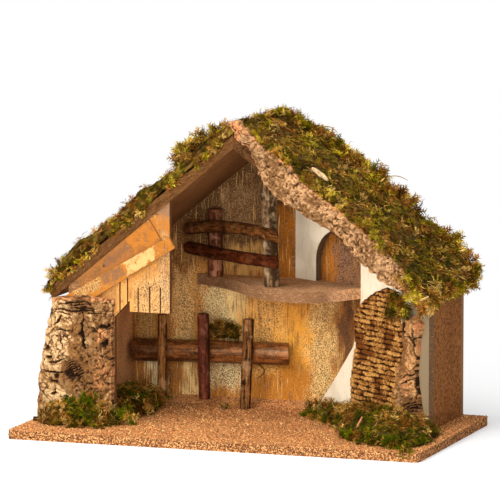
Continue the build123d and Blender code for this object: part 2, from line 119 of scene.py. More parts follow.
class Noise:
    """Seeded noise on arrays of points, made from hashed whole-number cells."""

    CORNERS = np.array(list(product((0, 1), repeat=3)))
    AROUND = np.array([(a, b, 0) for a, b in product((-1, 0, 1), repeat=2)])
    MIXERS = tuple(np.uint32(factor) for factor in (374761393, 668265263, 2246822519))
    STIRRER = np.uint32(1274126177)
    LARGEST = 4294967295
    OCTAVE_SHIFT = 31.7
    FAR = 9.0

    def __init__(self, seed: int) -> None:
        """Keeps the seed that every hash starts from."""
        self.seed = np.uint32(7919 * seed + 17)

    def hashed(self, cells: Array, salt: int = 0) -> Array:
        """Even random values of cells: the three whole numbers are mixed by multiplying and shifting.

        Args:
            cells: whole numbers, of shape (..., 3).
            salt: gives another set of values for the same cells.

        Returns:
            Values of 0 to 1, of shape (...).
        """
        whole = cells.astype(np.int64).astype(np.uint32)
        with np.errstate(over="ignore"):
            mixed = whole[..., 0] * self.MIXERS[0] + whole[..., 1] * self.MIXERS[1]
            mixed = mixed + whole[..., 2] * self.MIXERS[2] + self.seed + np.uint32(101 * salt)
            mixed = (mixed ^ (mixed >> np.uint32(13))) * self.STIRRER
        return (mixed ^ (mixed >> np.uint32(16))).astype(float) / self.LARGEST

    def smooth(self, points: Array) -> Array:
        """Value noise: the eight corner values of each cell, blended by eased shares.

        Args:
            points: places in cells, of shape (..., 3).

        Returns:
            Values of -1 to 1, of shape (...).
        """
        base = np.floor(points)
        part = ease(points - base, 0, 1)
        total = np.zeros(points.shape[:-1])
        for corner in self.CORNERS:
            total += np.prod(np.where(corner, part, 1 - part), axis=-1) * self.hashed(base + corner)
        return 2 * total - 1

    def fractal(self, points: Array, octaves: int = 4) -> Array:
        """Sum of octaves of value noise, each twice as fine and half as strong as the last."""
        layers = [self.smooth(points * 2 ** k + self.OCTAVE_SHIFT * k) / 2 ** k for k in range(octaves)]
        return sum(layers) / (2 - 2 ** (1 - octaves))

    def cells(self, points: Array) -> tuple[Array, Array]:
        """Cracked-plate pattern on the first two coordinates.

        Each cell holds one seed point, moved at random within it.

        Args:
            points: places, of shape (..., 3), whose third coordinate is 0.

        Returns:
            How much further the second seed is than the nearest one, and the nearest seed's tone.
        """
        base = np.floor(points)
        nearest = np.full(points.shape[:-1], self.FAR)
        second = nearest.copy()
        tone = np.zeros(points.shape[:-1])
        for shift in self.AROUND:
            cell = base + shift
            seed = cell[..., :2] + np.stack((self.hashed(cell, 1), self.hashed(cell, 2)), axis=-1)
            gap = np.linalg.norm(points[..., :2] - seed, axis=-1)
            closer = gap < nearest
            second = np.where(closer, nearest, np.minimum(second, gap))
            tone = np.where(closer, self.hashed(cell, 3), tone)
            nearest = np.where(closer, gap, nearest)
        return second - nearest, tone


def read_points(mesh: Mesh, what: str = "co") -> Array:
    """Places of a mesh's points, or their normals.

    Args:
        mesh: the mesh.
        what: "co" for places, "normal" for normals.

    Returns:
        An array of shape (n, 3).
    """
    flat = np.zeros(3 * len(mesh.vertices), np.float32)
    mesh.vertices.foreach_get(what, flat)
    return flat.reshape(-1, 3).astype(float)


def keep_on_points(mesh: Mesh, name: str, values: Array) -> None:
    """Keeps a number or a linear colour on each of a mesh's points.

    Args:
        mesh: the mesh.
        name: the attribute's name, which materials read.
        values: numbers, of shape (n,), or colours, of shape (n, 3).
    """
    if values.ndim == 1:
        layer = mesh.attributes.new(name, "FLOAT", "POINT")
        layer.data.foreach_set("value", values.astype(np.float32))
    else:
        layer = mesh.attributes.new(name, "FLOAT_COLOR", "POINT")
        opaque = np.concatenate((values, np.ones((len(values), 1))), axis=1)
        layer.data.foreach_set("color", opaque.astype(np.float32).ravel())


@dataclass
class Surface:
    """Points in metres, arrays of faces with one array per face size, and values kept on the points."""

    points: Array
    faces: list[Array]
    values: dict[str, Array] = field(default_factory=dict)

    def volume(self) -> float:
        """Signed volume: the sum over fans of triangles of a point's product with the other two's cross.

        Returns:
            The volume in cubic metres.
        """
        total = 0.0
        for group in self.faces:
            first = self.points[group[:, 0]]
            for k in range(1, group.shape[1] - 1):
                turned = np.cross(self.points[group[:, k]], self.points[group[:, k + 1]])
                total += float(np.sum(first * turned)) / 6
        return total

    def mesh(self, name: str, smooth: bool = True) -> Mesh:
        """Blender mesh with its faces pointing outwards.

        Args:
            name: the mesh's name.
            smooth: whether its faces are shaded smooth.

        Returns:
            The new mesh, with one point attribute for each value.
        """
        turn = -1 if self.volume() < 0 else 1
        loops = np.concatenate([group[:, ::turn].ravel() for group in self.faces])
        sizes = np.concatenate([np.full(len(group), group.shape[1]) for group in self.faces])
        mesh = bpy.data.meshes.new(name)
        mesh.vertices.add(len(self.points))
        mesh.vertices.foreach_set("co", self.points.astype(np.float32).ravel())
        mesh.loops.add(len(loops))
        mesh.loops.foreach_set("vertex_index", loops.astype(np.int32))
        mesh.polygons.add(len(sizes))
        mesh.polygons.foreach_set("loop_start", (np.cumsum(sizes) - sizes).astype(np.int32))
        mesh.polygons.foreach_set("use_smooth", np.full(len(sizes), smooth))
        mesh.update(calc_edges=True)
        for key, value in self.values.items():
            keep_on_points(mesh, key, value)
        return mesh


def publish(name: str, mesh: Mesh, finish: Material, nodes: tuple[str, ...] = ()) -> None:
    """Puts a finished mesh into the scene, riding on the only body.

    Args:
        name: the piece's name.
        mesh: its mesh, in metres, in the frame.
        finish: its material.
        nodes: the solids that it stands for.
    """
    piece = bpy.data.objects.new(name, mesh)
    bpy.context.scene.collection.objects.link(piece)
    mesh.materials.append(finish)
    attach(piece, BODY)
    if nodes:
        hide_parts(*nodes)
    LOG.info("%s: %d faces", name, len(mesh.polygons))


class Triangles:
    """A mesh's triangles as arrays, to find places on it."""

    def __init__(self, mesh: Mesh) -> None:
        """Reads the mesh's points and triangles.

        Args:
            mesh: the mesh.
        """
        mesh.calc_loop_triangles()
        self.points = read_points(mesh)
        corners = np.zeros(3 * len(mesh.loop_triangles), np.int32)
        mesh.loop_triangles.foreach_get("vertices", corners)
        self.triangles = corners.reshape(-1, 3)

    @staticmethod
    def of_node(name: str) -> "Triangles":
        """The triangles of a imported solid."""
        return Triangles(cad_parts[name].data)

    def scatter(self, count: int, rng: Rng) -> tuple[Array, Array]:
        """Random places spread evenly by area over the triangles.

        Args:
            count: how many places.
            rng: random numbers.

        Returns:
            The places and the outward normals there, each of shape (count, 3).
        """
        first, second, third = (self.points[self.triangles[:, k]] for k in range(3))
        cross = np.cross(second - first, third - first)
        area = np.linalg.norm(cross, axis=1)
        pick = rng.choice(len(area), count, p=area / area.sum())
        share, other = rng.random((2, count, 1))
        share = np.sqrt(share)
        spots = (1 - share) * first[pick] + share * ((1 - other) * second[pick] + other * third[pick])
        return spots, unit(cross[pick])

    def crossings(self, axis: Array, station: float) -> Array:
        """Points where the triangles' edges cross a plane.

        Args:
            axis: the plane's normal.
            station: how far along the axis the plane lies, in metres.

        Returns:
            The points, of shape (n, 3).
        """
        edges = np.concatenate([self.triangles[:, pair] for pair in ([0, 1], [1, 2], [2, 0])])
        reach = self.points @ axis - station
        start, end = reach[edges[:, 0]], reach[edges[:, 1]]
        hit = (start * end <= 0) & (np.abs(start - end) > 1e-9)
        share = (start[hit] / (start[hit] - end[hit]))[:, None]
        return self.points[edges[hit, 0]] * (1 - share) + self.points[edges[hit, 1]] * share

    def span(self, axis: Array, across: Array, stations: Array) -> tuple[Array, Array]:
        """Lowest and highest reach along a second axis at each station along the first."""
        reaches = [self.crossings(axis, station) @ across for station in stations]
        return np.array([reach.min() for reach in reaches]), np.array([reach.max() for reach in reaches])


@dataclass(frozen=True)
class Stencil:
    """A small closed shape to repeat: points of (along, sideways, up) and triangles."""

    points: Array
    triangles: Array

    @staticmethod
    def spindle(stations: tuple[float, ...], radii: tuple[float, ...]) -> "Stencil":
        """Three-sided spindle: triangles at stations along it, closed at its foot and drawn to a tip at 1.

        Args:
            stations: the triangles' places along it.
            radii: the triangles' radii.

        Returns:
            The spindle as a stencil.
        """
        turns = 2 * pi * np.arange(3) / 3
        ring = np.stack((np.zeros(3), np.cos(turns), np.sin(turns)), axis=1)
        rings = [ring * (1, radius, radius) + (station, 0, 0) for station, radius in zip(stations, radii)]
        points = np.concatenate((*rings, [(1.0, 0.0, 0.0)]))
        faces = [(0, 2, 1)]
        for k, side in product(range(len(stations) - 1), range(3)):
            low, following = 3 * k + side, 3 * k + (side + 1) % 3
            faces += [(low, following, following + 3), (low, following + 3, low + 3)]
        last, tip = 3 * (len(stations) - 1), len(points) - 1
        faces += [(last + side, last + (side + 1) % 3, tip) for side in range(3)]
        return Stencil(points, np.array(faces))

    @staticmethod
    def frond(pairs: int, reach: float, width: float) -> "Stencil":
        """Moss frond: a thin spindle for its stem, and pairs of leaflets, each a slim closed tetrahedron.

        Args:
            pairs: how many pairs of leaflets.
            reach: a leaflet's length, as a share of the stem.
            width: a leaflet's width at its root, as a share of the stem.

        Returns:
            The frond as a stencil.
        """
        stem = Stencil.spindle((0.0, 0.5), (0.035, 0.03))
        first_leaf, leafy_part = 0.2, 0.62
        raised, sunk = 0.10, -0.04
        sweep, shortening = 0.55, 0.18
        order = np.array([(0, 2, 1), (0, 1, 3), (1, 2, 3), (2, 0, 3)])
        points, faces = [stem.points], [stem.triangles]
        start = len(stem.points)
        for k, side in product(range(pairs), (-1, 1)):
            root = first_leaf + leafy_part * (k + 0.25 * side + 0.25) / pairs
            lift = raised if (k + (side > 0)) % 2 else sunk
            tip = (root + sweep * reach, side * reach * (1 - shortening * k), lift)
            leaf = [(root - width, 0, 0), (root + width, 0, -0.3 * width), (root, 0, 0.6 * width), tip]
            points.append(np.array(leaf))
            faces.append(start + (order if side > 0 else order[:, ::-1]))
            start += len(leaf)
        return Stencil(np.concatenate(points), np.concatenate(faces))

    @staticmethod
    def strand() -> "Stencil":
        """Thin curly strand: a spindle whose middle line swings sideways as a sine and half as far up.

        Returns:
            The strand as a stencil.
        """
        wave = 0.16
        stem = Stencil.spindle((0.0, 0.18, 0.36, 0.54, 0.74), (0.022, 0.03, 0.03, 0.026, 0.02))
        along = stem.points[:, 0]
        swing = np.stack((0 * along, wave * np.sin(2 * pi * along), 0.5 * wave * np.sin(5 * along)), axis=1)
        return Stencil(stem.points + swing, stem.triangles)

    @staticmethod
    def grain() -> "Stencil":
        """Granule: a lump of eight faces with its six points at unequal distances.

        Returns:
            The granule as a stencil.
        """
        points = [(1, 0, 0.1), (-0.9, 0.1, 0), (0, 1, 0), (0.1, -0.8, 0), (0, 0.1, 0.9), (0, 0, -1)]
        faces = [(4, 0, 2), (4, 2, 1), (4, 1, 3), (4, 3, 0), (5, 2, 0), (5, 1, 2), (5, 3, 1), (5, 0, 3)]
        return Stencil(np.array(points, float), np.array(faces))

    def repeat(self, roots: Array, axes: Axes, sizes: Array, bend: Array) -> Surface:
        """Copies of the stencil, all at once.

        A point is the root, plus its three coordinates times the copy's sizes along the copy's axes,
        plus the bend times the square of how far along it lies, upwards.

        Args:
            roots: where each copy starts, of shape (n, 3).
            axes: along, sideways and up for each copy, each of shape (n, 3).
            sizes: length, width and height of each copy, of shape (n, 3).
            bend: how far each tip bends up, in lengths, of shape (n,).

        Returns:
            One surface of all the copies.
        """
        along, aside, above = (self.points[:, k][None, :, None] for k in range(3))
        length, width, height = (sizes[:, k][:, None, None] for k in range(3))
        curl = bend[:, None, None] * length * along * along
        points = roots[:, None] + along * length * axes[0][:, None] + aside * width * axes[1][:, None]
        points = points + (above * height + curl) * axes[2][:, None]
        starts = len(self.points) * np.arange(len(roots))
        faces = (self.triangles[None] + starts[:, None, None]).reshape(-1, 3)
        return Surface(points.reshape(-1, 3), [faces])


def scattered_axes(normals: Array, tilt: Array, rng: Rng) -> Axes:
    """Axes for copies that lie in random directions on a surface and rise from it by a tilt.

    Args:
        normals: the surface's normals, of shape (n, 3).
        tilt: each copy's angle above the surface, in radians, of shape (n,).
        rng: random numbers.

    Returns:
        The along, sideways and up axes.
    """
    random = rng.normal(size=normals.shape)
    flat = unit(random - np.sum(random * normals, axis=1, keepdims=True) * normals)
    along = np.cos(tilt)[:, None] * flat + np.sin(tilt)[:, None] * normals
    above = np.cos(tilt)[:, None] * normals - np.sin(tilt)[:, None] * flat
    return along, np.cross(above, along), above


class Graph:
    """One material's nodes, written in few words. Sizes are in millimetres of Object coordinates."""

    def __init__(self, name: str, roughness: float, specular: float) -> None:
        """Starts a material with one shader, set to a roughness and a specular level.

        Args:
            name: the material's name.
            roughness: the shader's roughness.
            specular: its specular level.
        """
        self.material = bpy.data.materials.new(name)
        self.material.use_nodes = True
        self.tree = self.material.node_tree
        self.shader = self.tree.nodes["Principled BSDF"]
        self.feed(self.shader.inputs["Roughness"], roughness)
        self.feed(self.shader.inputs["Specular IOR Level"], specular)
        self.coordinates = self.tree.nodes.new("ShaderNodeTexCoord").outputs

    def feed(self, socket: Socket, value: Value) -> None:
        """Links a socket to a value's socket, or sets it to a number, a list or a display colour.

        Args:
            socket: the input.
            value: what it gets.
        """
        if isinstance(value, Socket):
            self.tree.links.new(value, socket)
        else:
            socket.default_value = (*linear(value), 1.0) if isinstance(value, tuple) else value

    def node(self, kind: str, inputs: dict[str | int, Value], output: str | int = 0,
             **settings: str) -> Socket:
        """Adds a node.

        Args:
            kind: the node's kind.
            inputs: what its inputs get, by name or place.
            output: which of its outputs to give.
            settings: its properties, such as an operation.

        Returns:
            The output.
        """
        node = self.tree.nodes.new("ShaderNode" + kind)
        for name, setting in settings.items():
            setattr(node, name, setting)
        for key, value in inputs.items():
            self.feed(node.inputs[key], value)
        return node.outputs[output]

    def axis(self, index: int) -> Socket:
        """Object coordinate along one axis, in metres."""
        return self.node("SeparateXYZ", {0: self.coordinates["Object"]}, index)

    def facing(self, direction: Place, low: float, high: float) -> Socket:
        """Share of 0 to 1 by how far the surface faces a direction, from a low to a high cosine."""
        sides = {0: self.coordinates["Normal"], 1: [*direction]}
        return self.ramp(self.node("VectorMath", sides, "Value", operation="DOT_PRODUCT"), low, high)

    def spot(self, size: float, stretch: Place) -> Socket:
        """Object coordinates in units of a size in millimetres, made longer along the stretched axes."""
        scale = [1 / (MM * size * part) for part in stretch]
        return self.node("Mapping", {"Vector": self.coordinates["Object"], "Scale": scale})

    def noise(self, size: float, stretch: Place = EVEN, detail: float = 3.0, twist: float = 0.0) -> Socket:
        """Values of about 0.3 to 0.7 in stretched blots of a size, with finer detail and a twist."""
        inputs = {"Vector": self.spot(size, stretch), "Scale": 1.0, "Detail": detail, "Distortion": twist}
        return self.node("TexNoise", inputs)

    def grains(self, size: float) -> Socket:
        """A random grey of 0 to 1 for each grain of a size."""
        colour = self.node("TexVoronoi", {"Vector": self.spot(size, EVEN), "Scale": 1.0}, "Color")
        return self.node("SeparateColor", {0: colour})

    def kept(self, name: str, output: str = "Fac") -> Socket:
        """A number kept on the mesh's points, or with the output Color a colour."""
        return self.node("Attribute", {}, output, attribute_name=name)

    def ramp(self, value: Socket, low: float, high: float, start: float = 0.0, end: float = 1.0) -> Socket:
        """Eased change from start, where a value is low, to end, where it is high."""
        parts = {"Value": value, "From Min": low, "From Max": high, "To Min": start, "To Max": end}
        return self.node("MapRange", parts, interpolation_type="SMOOTHSTEP")

    def math(self, operation: str, first: Value, second: Value = 0.0) -> Socket:
        """One arithmetic step on one or two values."""
        return self.node("Math", {0: first, 1: second}, operation=operation)

    def added(self, first: Socket, second: Socket, weight: float) -> Socket:
        """A value plus another one times a weight."""
        return self.math("ADD", first, self.math("MULTIPLY", second, weight))

    def mix(self, share: Value, first: Value, second: Value, blend: str = "MIX") -> Socket:
        """Two colours mixed by the second one's share. The node has numbers and vectors before colours."""
        return self.node("Mix", {0: share, 6: first, 7: second}, 2, data_type="RGBA", blend_type=blend)

    def stain(self, colour: Value, over: Value, value: Socket, low: float, high: float,
              cover: float = 1.0) -> Socket:
        """A colour with another one over it, from none of it where a value is low to a cover where high."""
        return self.mix(self.ramp(value, low, high, 0.0, cover), colour, over)

    def bump(self, height: Socket, depth: float) -> None:
        """Roughens the surface by a height of 0 to 1, of a depth in millimetres."""
        normal = self.node("Bump", {"Strength": 1.0, "Distance": depth * MM, "Height": height})
        self.feed(self.shader.inputs["Normal"], normal)

    def done(self, colour: Socket) -> Material:
        """The material, with its shader's colour set."""
        self.feed(self.shader.inputs["Base Color"], colour)
        return self.material


@dataclass(frozen=True)
class Fibreboard:
    """Soft fibreboard: a felted brown face and sawn front edges with fibres drawn along them."""

    name: str
    face: Colour = (122, 83, 50)
    shade: Colour = (92, 60, 35)
    edge: Colour = (158, 109, 70)
    fibre: Colour = (196, 147, 99)
    grain: Place = EVEN
    clouding: float = 0.45
    felt: float = 1.6

    def colours(self, graph: Graph) -> tuple[Socket, Socket]:
        """Colour and height of the board.

        Args:
            graph: the material to add nodes to.

        Returns:
            The colour, and the height of its felted fibres.
        """
        felt = graph.noise(self.felt, self.grain, 4.0, 0.6)
        cloud = graph.noise(38.0, EVEN, 4.0)
        fleck = graph.noise(2.6, (3.0, 3.0, 0.7), 3.0, 1.2)
        drawn = graph.noise(1.4, (6.0, 6.0, 1.0), 4.0, 0.8)
        colour = graph.stain(self.face, self.shade, cloud, 0.35, 0.66, self.clouding)
        colour = graph.stain(colour, self.shade, felt, 0.40, 0.66, 0.75)
        colour = graph.stain(colour, self.fibre, fleck, 0.60, 0.74, 0.45)
        sawn = graph.stain(self.shade, self.edge, drawn, 0.40, 0.64)
        sawn = graph.stain(sawn, self.fibre, drawn, 0.60, 0.72, 0.8)
        colour = graph.mix(graph.facing(FRONT, 0.5, 0.8), colour, sawn)
        return colour, graph.added(felt, drawn, 0.8)

    def material(self) -> Material:
        """The board's material.

        Returns:
            The material.
        """
        graph = Graph(self.name, 0.95, 0.04)
        colour, height = self.colours(graph)
        graph.bump(height, 0.9)
        return graph.done(colour)


class Stroke(Enum):
    """How a patch of paint was put on."""

    STREAK = "drawn down with a dry brush"
    SPECKLE = "dabbed so that the board shows in specks"
    WASH = "washed on thin and even"


@dataclass(frozen=True)
class Patch:
    """One patch of paint: its middle and half sizes across and up in millimetres, colour, cover and turn."""

    across: float
    up: float
    wide: float
    tall: float
    colour: Colour
    cover: float = 0.9
    stroke: Stroke = Stroke.STREAK
    turn: float = 0.0


@dataclass(frozen=True)
class PaintedBoard:
    """Fibreboard with patches of thin paint on its front."""

    name: str
    patches: tuple[Patch, ...]
    board: Fibreboard
    flecks: Colour = (94, 64, 38)
    fleck_share: float = 0.2
    sway: float = 20.0
    fade: float = 13.0
    # colour of faces that are not the front; on the gable it is darker, as painted shade in its slots
    sides: Colour | None = None

    def inside(self, graph: Graph, patch: Patch, across: Socket, up: Socket) -> Socket:
        """How far inside a patch a place is.

        The larger of the two distances past the patch's half sizes, along the patch's own turned axes,
        fades out around zero.

        Args:
            graph: the material to add nodes to.
            patch: the patch.
            across: the place across the board in metres, moved by noise.
            up: the place up the board in metres, moved by noise.

        Returns:
            A share of 0 to 1.
        """
        aside = graph.math("SUBTRACT", across, patch.across * MM)
        above = graph.math("SUBTRACT", up, patch.up * MM)
        turn = radians(patch.turn)
        reaches = []
        for first, second, half in ((cos(turn), sin(turn), patch.wide), (-sin(turn), cos(turn), patch.tall)):
            off = graph.added(graph.math("MULTIPLY", aside, first), above, second)
            reaches.append(graph.math("SUBTRACT", graph.math("ABSOLUTE", off), half * MM))
        return graph.ramp(graph.math("MAXIMUM", *reaches), self.fade * MM, -self.fade * MM, 0.0, patch.cover)

    def material(self) -> Material:
        """The painted board's material.

        Patch after patch, paint lies where the stroke's own noise plus the patch's cover passes a level, so
        that it thins out in streaks or specks at the patch's border.

        Returns:
            The material.
        """
        graph = Graph(self.name, 0.9, 0.05)
        bare, height = self.board.colours(graph)
        sways = [graph.math("MULTIPLY", graph.math("SUBTRACT", graph.noise(size, (1, 1, 2.2), 6.0), 0.5),
                            2 * self.sway * MM) for size in (14.0, 21.0)]
        across, up = (graph.math("ADD", graph.axis(index), sway) for index, sway in zip((0, 2), sways))
        streak = graph.noise(1.5, (1, 1, 18.0), 5.0, 0.4)
        dab = graph.noise(1.1, (1, 1, 1.7), 4.0, 0.3)
        fleck = graph.noise(0.8, (1, 1, 1.3), 2.0)
        wash = graph.noise(5.0, EVEN, 5.0, 0.6)
        strokes = {Stroke.STREAK: streak, Stroke.SPECKLE: dab, Stroke.WASH: wash}
        uneven = graph.ramp(graph.noise(10.0, (1, 1, 2.4), 4.0), 0.38, 0.58, 0.6, 1.0)
        colour = bare
        for patch in self.patches:
            cover = graph.math("MULTIPLY", self.inside(graph, patch, across, up), uneven)
            brushed = graph.added(strokes[patch.stroke], cover, 0.46)
            colour = graph.stain(colour, patch.colour, brushed, 0.58, 0.90)
            if patch.stroke is Stroke.SPECKLE:
                colour = graph.stain(colour, self.flecks, graph.added(fleck, cover, 0.2), 0.64, 0.76)
        colour = graph.stain(colour, self.flecks, fleck, 0.52, 0.64, self.fleck_share)
        # faces that are not the front take the sides colour: on the gable, painted shade in its sawn slots
        colour = graph.mix(graph.facing(FRONT, 0.5, 0.9), self.sides or bare, colour)
        graph.bump(graph.math("ADD", height, streak), 0.6)
        return graph.done(colour)


@dataclass(frozen=True)
class Plaster:
    """Thin off-white plaster, brushed on upright, a little soiled, and grimy at its right end."""

    name: str
    white: Colour = (248, 231, 200)
    soiled: Colour = (224, 202, 168)
    speck: Colour = (128, 100, 70)
    grimy: Colour = (134, 113, 82)
    grime_start: float = 190.0
    grime_full: float = 204.0
    grime_sway: float = 20.0

    def material(self) -> Material:
        """The plaster's material.

        Returns:
            The material.
        """
        graph = Graph(self.name, 0.9, 0.2)
        brushed = graph.noise(3.0, (1, 1, 6.0), 4.0, 0.5)
        cloud = graph.noise(30.0, (1, 1, 1.6), 4.0)
        dirt = graph.noise(1.5)
        colour = graph.stain(self.white, self.soiled, cloud, 0.46, 0.70, 0.7)
        colour = graph.stain(colour, self.soiled, brushed, 0.50, 0.70, 0.45)
        colour = graph.stain(colour, self.speck, dirt, 0.66, 0.74, 0.8)
        end = graph.added(graph.axis(0), cloud, self.grime_sway * MM)
        colour = graph.stain(colour, self.grimy, end, self.grime_start * MM, self.grime_full * MM, 0.95)
        graph.bump(graph.math("ADD", brushed, graph.noise(1.2)), 0.8)
        return graph.done(colour)


@dataclass(frozen=True)
class Bark:
    """Cork bark: pale plates, darker flanks, near-black cracks and peach where it was cut."""

    name: str
    pale: Colour = (216, 176, 124)
    middle: Colour = (134, 92, 50)
    grey: Colour = (140, 116, 84)
    flank: Colour = (108, 72, 40)
    crack: Colour = (42, 26, 14)
    cut: Colour = (208, 138, 88)
    greying: float = 0.3
    flaking: float = 0.5
    flake: float = 4.2

    def material(self) -> Material:
        """The bark's material, which reads the depth, tone and cut kept on the mesh.

        Returns:
            The material.
        """
        graph = Graph(self.name, 0.95, 0.06)
        tone, depth, cut = (graph.kept(name) for name in ("tone", "depth", "cut"))
        fine = graph.noise(1.3, EVEN, 3.0, 0.8)
        blot = graph.noise(16.0, EVEN, 4.0)
        flake = graph.noise(self.flake, EVEN, 5.0, 1.4)
        colour = graph.stain(self.middle, self.pale, graph.added(tone, fine, 0.6), 0.45, 1.15)
        colour = graph.stain(colour, self.grey, blot, 0.50, 0.62, self.greying)
        colour = graph.stain(colour, self.cut, graph.math("ADD", cut, fine), 0.85, 1.3, 0.9)
        colour = graph.stain(colour, self.flank, flake, 0.50, 0.64, self.flaking)
        colour = graph.stain(colour, self.flank, fine, 0.54, 0.68, 0.55)
        sunk = graph.added(depth, fine, 0.3)
        colour = graph.stain(colour, self.flank, sunk, 0.22, 0.60, 0.9)
        colour = graph.stain(colour, self.crack, sunk, 0.60, 1.10)
        graph.bump(fine, 0.6)
        return graph.done(colour)


@dataclass(frozen=True)
class TwigBark:
    """Smooth twig bark with drawn-out streaks, lighter scuffs and cut ends of bare wood."""

    name: str
    bark: Colour
    dark: Colour
    scuff: Colour
    wood: Colour
    roughness: float = 0.5
    specular: float = 0.1
    scuffing: float = 0.6
    sheen: Colour = (255, 204, 150)

    def material(self) -> Material:
        """The twig's material, which reads the streak and cut kept on the mesh.

        Returns:
            The material.
        """
        graph = Graph(self.name, self.roughness, self.specular)
        graph.feed(graph.shader.inputs["Specular Tint"], self.sheen)
        streak, cut = graph.kept("streak"), graph.kept("cut")
        blot = graph.noise(14.0, EVEN, 4.0, 0.5)
        fine = graph.noise(1.6, EVEN, 3.0, 0.5)
        colour = graph.stain(self.dark, self.bark, streak, 0.30, 0.72)
        colour = graph.stain(colour, self.scuff, blot, 0.52, 0.68, self.scuffing)
        colour = graph.stain(colour, self.dark, fine, 0.56, 0.72, 0.6)
        colour = graph.stain(colour, self.wood, cut, 0.4, 0.9, 0.75)
        graph.bump(graph.math("ADD", fine, blot), 0.5)
        roughness = graph.ramp(fine, 0.35, 0.7, self.roughness - 0.12, self.roughness + 0.2)
        graph.feed(graph.shader.inputs["Roughness"], roughness)
        return graph.done(colour)


@dataclass(frozen=True)
class Stones:
    """Embossed stones: golden tan tops over dark brown joints."""

    name: str
    top: Colour = (212, 156, 82)
    flank: Colour = (108, 60, 20)
    joint: Colour = (46, 24, 8)

    def material(self) -> Material:
        """The stones' material, which reads the depth and tone kept on the mesh.

        Returns:
            The material.
        """
        graph = Graph(self.name, 0.9, 0.08)
        tone, depth = graph.kept("tone"), graph.kept("depth")
        fine = graph.noise(1.7, EVEN, 4.0, 0.6)
        colour = graph.stain(self.flank, self.top, graph.math("ADD", tone, fine), 0.66, 1.5)
        colour = graph.stain(colour, self.flank, fine, 0.52, 0.68, 0.6)
        colour = graph.stain(colour, self.joint, graph.added(depth, fine, 0.5), 0.38, 0.88)
        graph.bump(fine, 0.6)
        return graph.done(colour)


@dataclass(frozen=True)
class Granules:
    """The granule layer between its loose grains: tan with dark and pale specks, peppered darker on its
    edges, partly as painted shade.
    """

    name: str
    tan: Colour = (206, 137, 80)
    dark: Colour = (100, 56, 30)
    pale: Colour = (226, 166, 104)
    grain: float = 1.15

    def material(self) -> Material:
        """The granule layer's material.

        Returns:
            The material.
        """
        graph = Graph(self.name, 0.92, 0.15)
        grain = graph.grains(self.grain)
        colour = graph.stain(self.dark, self.tan, grain, 0.0, 0.35)
        colour = graph.stain(colour, self.pale, grain, 0.6, 1.0)
        colour = graph.stain(colour, self.dark, graph.noise(50.0), 0.4, 0.7, 0.25)
        # side faces are peppered darker: coarser specks, and painted shade on the front edge
        edge = graph.math("SUBTRACT", 1.0, graph.facing(UP, 0.3, 0.7))
        peppered = graph.stain(self.dark, self.pale, grain, 0.40, 0.94)
        colour = graph.mix(graph.math("MULTIPLY", edge, 0.85), colour, peppered)
        graph.bump(grain, 1.2)
        return graph.done(colour)


@dataclass(frozen=True)
class Tinted:
    """Anything whose colour is kept on its points: moss, fibres, straws and loose grains."""

    name: str
    roughness: float = 0.9
    mottle: Colour = (96, 74, 40)

    def material(self) -> Material:
        """The material, which reads the tint kept on the mesh and mottles it a little.

        Returns:
            The material.
        """
        graph = Graph(self.name, self.roughness, 0.04)
        share = graph.ramp(graph.noise(3.0, EVEN, 2.0), 0.35, 0.7, 0.0, 0.35)
        return graph.done(graph.mix(share, graph.kept("tint", "Color"), self.mottle, "MULTIPLY"))


@dataclass(frozen=True)
class Brad:
    """Dulled steel of the one brad."""

    name: str
    worn: Colour = (70, 52, 36)
    dark: Colour = (42, 30, 20)

    def material(self) -> Material:
        """The brad's material.

        Returns:
            The material.
        """
        graph = Graph(self.name, 0.5, 0.3)
        graph.feed(graph.shader.inputs["Metallic"], 0.4)
        return graph.done(graph.stain(self.worn, self.dark, graph.noise(0.8), 0.4, 0.7))


@dataclass(frozen=True)
class Bench:
    """Axes of a flat piece: where it starts, along its stations, across them and out of its face."""

    origin: Place
    along: Place
    across: Place
    out: Place

    def axes(self) -> tuple[Array, Array, Array, Array]:
        """Origin in metres and the three axes as arrays."""
        return tuple(np.array(part, float) * scale for part, scale in
                     ((self.origin, MM), (self.along, 1), (self.across, 1), (self.out, 1)))


@dataclass(frozen=True)
class Mark:
    """A hole, crack, stain or break in bark: its place, half sizes and stripes in millimetres.

    The depth is in millimetres too, or for a stain or break a share, and the turn is in degrees.
    """

    along: float
    across: float
    long: float
    wide: float
    depth: float
    turn: float = 0.0
    stripe: float = 0.0


